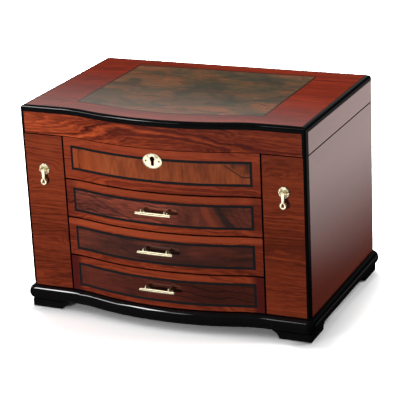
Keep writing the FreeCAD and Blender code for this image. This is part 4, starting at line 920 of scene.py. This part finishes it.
# Three drawers: a bowed front with an inlaid panel, a plain wooden box behind it and a padded floor
# with wrapped dividers in the upper two.
tones_of = {1: ((0.225, 0.048, 0.026), (0.120, 0.0290, 0.0190), (0.040, 0.0120, 0.0095)),
            2: ((0.120, 0.031, 0.021), (0.062, 0.0175, 0.0135), (0.024, 0.0088, 0.0078)),
            3: ((0.150, 0.034, 0.020), (0.078, 0.0175, 0.0120), (0.030, 0.0088, 0.0070))}
# Each drawer front gets its own strength of painted highlight along its top rail.
for index, figure, ends, painted_top_highlight in ((1, swept, 0.45, 0.45), (2, smoked, 0.15, 0.6), (3, waved, 0.95, 0.1)):
    body = f"drawer_{index}"
    front = rosewood(f"drawer_{index}_veneer", "X", 10.0 + 2.7 * index, ends=ends, painted_top_highlight=painted_top_highlight,
                     arris=(*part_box(f"{body}_front"), "-X +X -Z", EDGE))
    place_piece(eased(f"{body}_front", f"{body}_face", 0.5 * MM), body, "rosewood", front, f"{body}_front")
    recolour(f"{body}_inlay", inlay(f"drawer_{index}_figure", f"{body}_inlay", "X", 20.0 + 3.1 * index,
                                    tones_of[index], 0.4, figure))
    place_piece(eased(f"{body}_box", f"{body}_case", 0.7 * MM), body, "inner_wood", stain_y, f"{body}_box")
    low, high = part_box(f"{body}_lining")
    middle_y, middle_z = (low.y + high.y) / 2, (low.z + high.z) / 2
    floor_top = low.z + 3.0 * MM
    half_room = 2.3 * MM
    edges = [low.x]
    count = {1: 3, 2: 1, 3: 0}[index]
    wraps = []
    for number in range(1, count + 1):
        centre = low.x + (high.x - low.x) * number / (count + 1)
        edges += [centre - half_room, centre + half_room]
        wraps.append(shape(bpy.ops.mesh.primitive_cube_add, "wrap", size=1.0,
                           location=(centre, middle_y, middle_z + 0.5 * MM),
                           scale=(3.9 * MM, high.y - low.y - 0.4 * MM, high.z - low.z - 1.0 * MM)))
        open_mesh()
        bpy.ops.mesh.bevel(offset=1.5 * MM, segments=4, affect="EDGES")
        close_mesh(50)
    edges.append(high.x)
    if wraps:
        wraps = welded(f"{body}_wraps", wraps)
        place_piece(wraps, body, "velvet", beige)
    for number in range(count + 1):
        cushion = pad(f"{body}_pad_{number + 1}", Vector((edges[2 * number], low.y, low.z)),
                      Vector((edges[2 * number + 1], high.y, floor_top)), 0.8 * MM, index * 7.0 + number)
        place_piece(cushion, body, "velvet", beige, f"{body}_lining")

    # The brass bar pull: a bar that is fuller in its middle, on two slender posts that arch over on to it.
    low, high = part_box(f"{body}_pull")
    centre_z = (low.z + high.z) / 2 + 0.8 * MM
    bar_y = low.y + 4.8 * MM
    seat = high.y
    reach = (high.x - low.x) / 2 - 0.9 * MM
    shares = (-1.0, -0.97, -0.6, -0.25, 0.25, 0.6, 0.97, 1.0)
    bar = bent_rod("bar", [(share * reach, bar_y, centre_z) for share in shares], 4.9 * MM,
                   [0.74, 0.78, 0.93, 1.0, 1.0, 0.95, 0.84, 0.80])
    pieces = [bar]
    post_x = 16.5 * MM
    for sign in (-1, 1):
        x = sign * post_x
        path = [(seat, -1.6), (seat - 1.6 * MM, -1.2), (seat - 2.4 * MM, 2.0), (seat - 4.6 * MM, 4.4),
                (bar_y + 1.4 * MM, 4.6), (bar_y - 0.2 * MM, 3.6), (bar_y, 1.4)]
        post = [(x, y, centre_z + rise * MM) for y, rise in path]
        pieces.append(bent_rod("post", post, 2.0 * MM, [1.35, 1.0, 0.85, 1.05, 1.15, 1.1, 0.9]))
        foot_at = (x, seat - 0.4 * MM, centre_z - 1.6 * MM)
        pieces.append(turned_disc("foot", foot_at, "Y", 1.7 * MM, 0.8 * MM, 0.3 * MM))
    place_piece(welded(f"{body}_bar", pieces), body, "brass", polished, f"{body}_pull")

# Two side towers that pull out: a flat veneered front on an open wooden frame with a row of brass hooks
# for necklaces and a low tray.
column_tones = dict(light=(0.182, 0.0300, 0.0100), middle=(0.124, 0.0190, 0.0070), dark=(0.068, 0.0108, 0.0046))
for side, seed in (("left", 31.0), ("right", 35.5)):
    body = f"tower_{side}"
    column = rosewood(f"column_veneer_{side}", "X", seed, vein=0.42, **column_tones,
                      arris=(*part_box(f"{body}_front"), "-X +X -Z +Z", EDGE))
    place_piece(eased(f"{body}_front", f"column_{side}", 0.5 * MM), body, "rosewood", column, f"{body}_front")
    place_piece(eased(f"{body}_frame", f"{body}_rack", 0.7 * MM), body, "inner_wood", stain_y, f"{body}_frame")
    recolour(f"{body}_hooks", polished)

    # The drop pull: a cast brass rosette with curled relief and a slender loop that hangs on its pin.
    low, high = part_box(f"{body}_rosette")
    seat = high.y
    centre = Vector(((low.x + high.x) / 2, seat, (low.z + high.z) / 2 - 1.0 * MM))
    radius = 7.7 * MM
    dome = shape(bpy.ops.mesh.primitive_uv_sphere_add, "dome", segments=80, ring_count=48, radius=1.0,
                 rotation=(math.pi / 2, 0, 0))
    open_mesh()
    bpy.ops.mesh.bisect(plane_co=(0, 0, 0), plane_no=(0, 1, 0), clear_outer=True, use_fill=True)
    close_mesh()
    for vert in dome.data.vertices:
        out = math.hypot(vert.co.x, vert.co.z)
        turn = math.atan2(vert.co.z, vert.co.x)
        proud = max(0.0, -vert.co.y)
        lobes = math.cos(10 * turn)
        scallop = 1 + 0.035 * lobes * min(1.0, out / 0.8)
        petals = 0.20 * lobes * math.exp(-((out - 0.74) / 0.16) ** 2)
        collar = 0.42 * math.exp(-((out - 0.50) / 0.07) ** 2) - 0.35 * math.exp(-((out - 0.60) / 0.05) ** 2)
        bead = 0.42 * math.exp(-((out - 0.90) / 0.07) ** 2)
        height = (0.55 + 1.35 * proud ** 0.8 + petals + collar + bead) * MM if proud > 1e-4 else 0.0
        vert.co = centre + Vector((vert.co.x * radius * scallop * 0.97, -height, vert.co.z * radius * scallop))
    bpy.ops.object.shade_smooth_by_angle(angle=math.radians(50))
    pieces = [dome]
    curl_out = 4.9 * MM
    for turn in (0.6, 2.2, 3.9, 5.5):
        curl = []
        curl_centre = centre + Vector((math.cos(turn) * curl_out, 0, math.sin(turn) * curl_out))
        for step in range(12):
            angle = turn + step * 0.55
            spread = (1.9 - 0.13 * step) * MM
            curl.append(curl_centre + Vector((math.cos(angle) * spread, -2.0 * MM, math.sin(angle) * spread)))
        pieces.append(bent_rod("curl", curl, 0.75 * MM, [0.6] + [1.0] * 10 + [1.3], resolution=3))
    pin_y = low.y + 1.9 * MM
    for sign in (-1, 1):
        x = centre.x + sign * 4.1 * MM
        ear = [(x, seat - 1.2 * MM, centre.z), (x, pin_y + 1.6 * MM, centre.z), (x, pin_y, centre.z)]
        pieces.append(bent_rod("ear", ear, 3.0 * MM, [1.25, 0.9, 0.9]))
        pieces.append(turned_disc("ear_ball", (x, pin_y, centre.z), "X", 1.85 * MM, 1.8 * MM, 0.6 * MM))
    pieces.append(turned_disc("pin", (centre.x, pin_y, centre.z), "X", 0.9 * MM, 9.2 * MM, 0.2 * MM, 20))
    place_piece(welded(f"rosette_{side}", pieces), body, "brass", polished, f"{body}_rosette")

    hub = turned_disc("hub", (centre.x, pin_y, centre.z), "X", 1.85 * MM, 5.7 * MM, 0.5 * MM)
    neck_line = [(centre.x, pin_y, centre.z - drop * MM) for drop in (0.6, 4.2, 7.6, 10.8, 12.6)]
    neck = bent_rod("neck", neck_line, 3.8 * MM, [1.25, 1.05, 0.90, 0.85, 0.95])
    for vert in neck.data.vertices:
        vert.co.x += (vert.co.x - centre.x) * 0.40
    loop_z, loop_steps = centre.z - 15.9 * MM, 16
    turns = [math.tau * step / loop_steps for step in range(loop_steps)]
    ring = [(centre.x + 3.05 * MM * math.cos(angle), pin_y, loop_z + 3.8 * MM * math.sin(angle))
            for angle in turns]
    loop = bent_rod("loop", ring, 3.3 * MM, closed=True, resolution=3)
    tip_line = [(centre.x, pin_y, centre.z - drop * MM) for drop in (18.4, 20.2, 21.6)]
    tip = bent_rod("tip", tip_line, 3.6 * MM, [1.0, 1.0, 0.4])
    place_piece(welded(f"drop_{side}", [hub, neck, loop, tip]), f"pendant_{side}", "brass", polished,
                f"{body}_pendant")

# Gloss lights of the studio: three cards high at the left that only the black lacquer mirrors, as its thin
# highlights, and three broad cards, low in front, high in front and on top, that only the brass mirrors.
for kind, *lamp_row in (
        ("black", "lacquer_card", (-0.95, -0.80, 1.50), (-0.12, -0.1, 0.05), 0.5, 0.35, 13.0),
        ("black", "lacquer_card_left", (-1.45, -0.80, 1.40), (-0.05, -0.1, 0.05), 0.6, 0.26, 5.0),
        ("black", "lacquer_glow", (-0.75, -1.15, 1.66), (-0.05, -0.1, 0.05), 0.6, 0.36, 2.5),
        ("brass", "brass_card_low", (-0.15, -0.62, 0.02), (-0.15, -0.62, 1.0), 1.1, 0.80, 4.2),
        ("brass", "brass_card_high", (-0.30, -1.00, 1.40), (0.0, -0.1, 0.14), 1.6, 0.8, 6.4),
        ("brass", "brass_card_top", (-0.60, -0.05, 1.60), (0.0, -0.14, 0.15), 1.0, 0.6, 3.6)):
    lamp = hung_lamp(*lamp_row)
    lamp.visible_camera = False
    takers = bpy.data.collections.new(lamp.name + "_takers")
    for piece in bpy.data.objects:
        finishes = [slot.material.name for slot in piece.material_slots if slot.material]
        if any(kind in finish_name for finish_name in finishes) and piece.name != "floor":
            takers.objects.link(piece)
    lamp.light_linking.receiver_collection = takers

low, high = cad_box
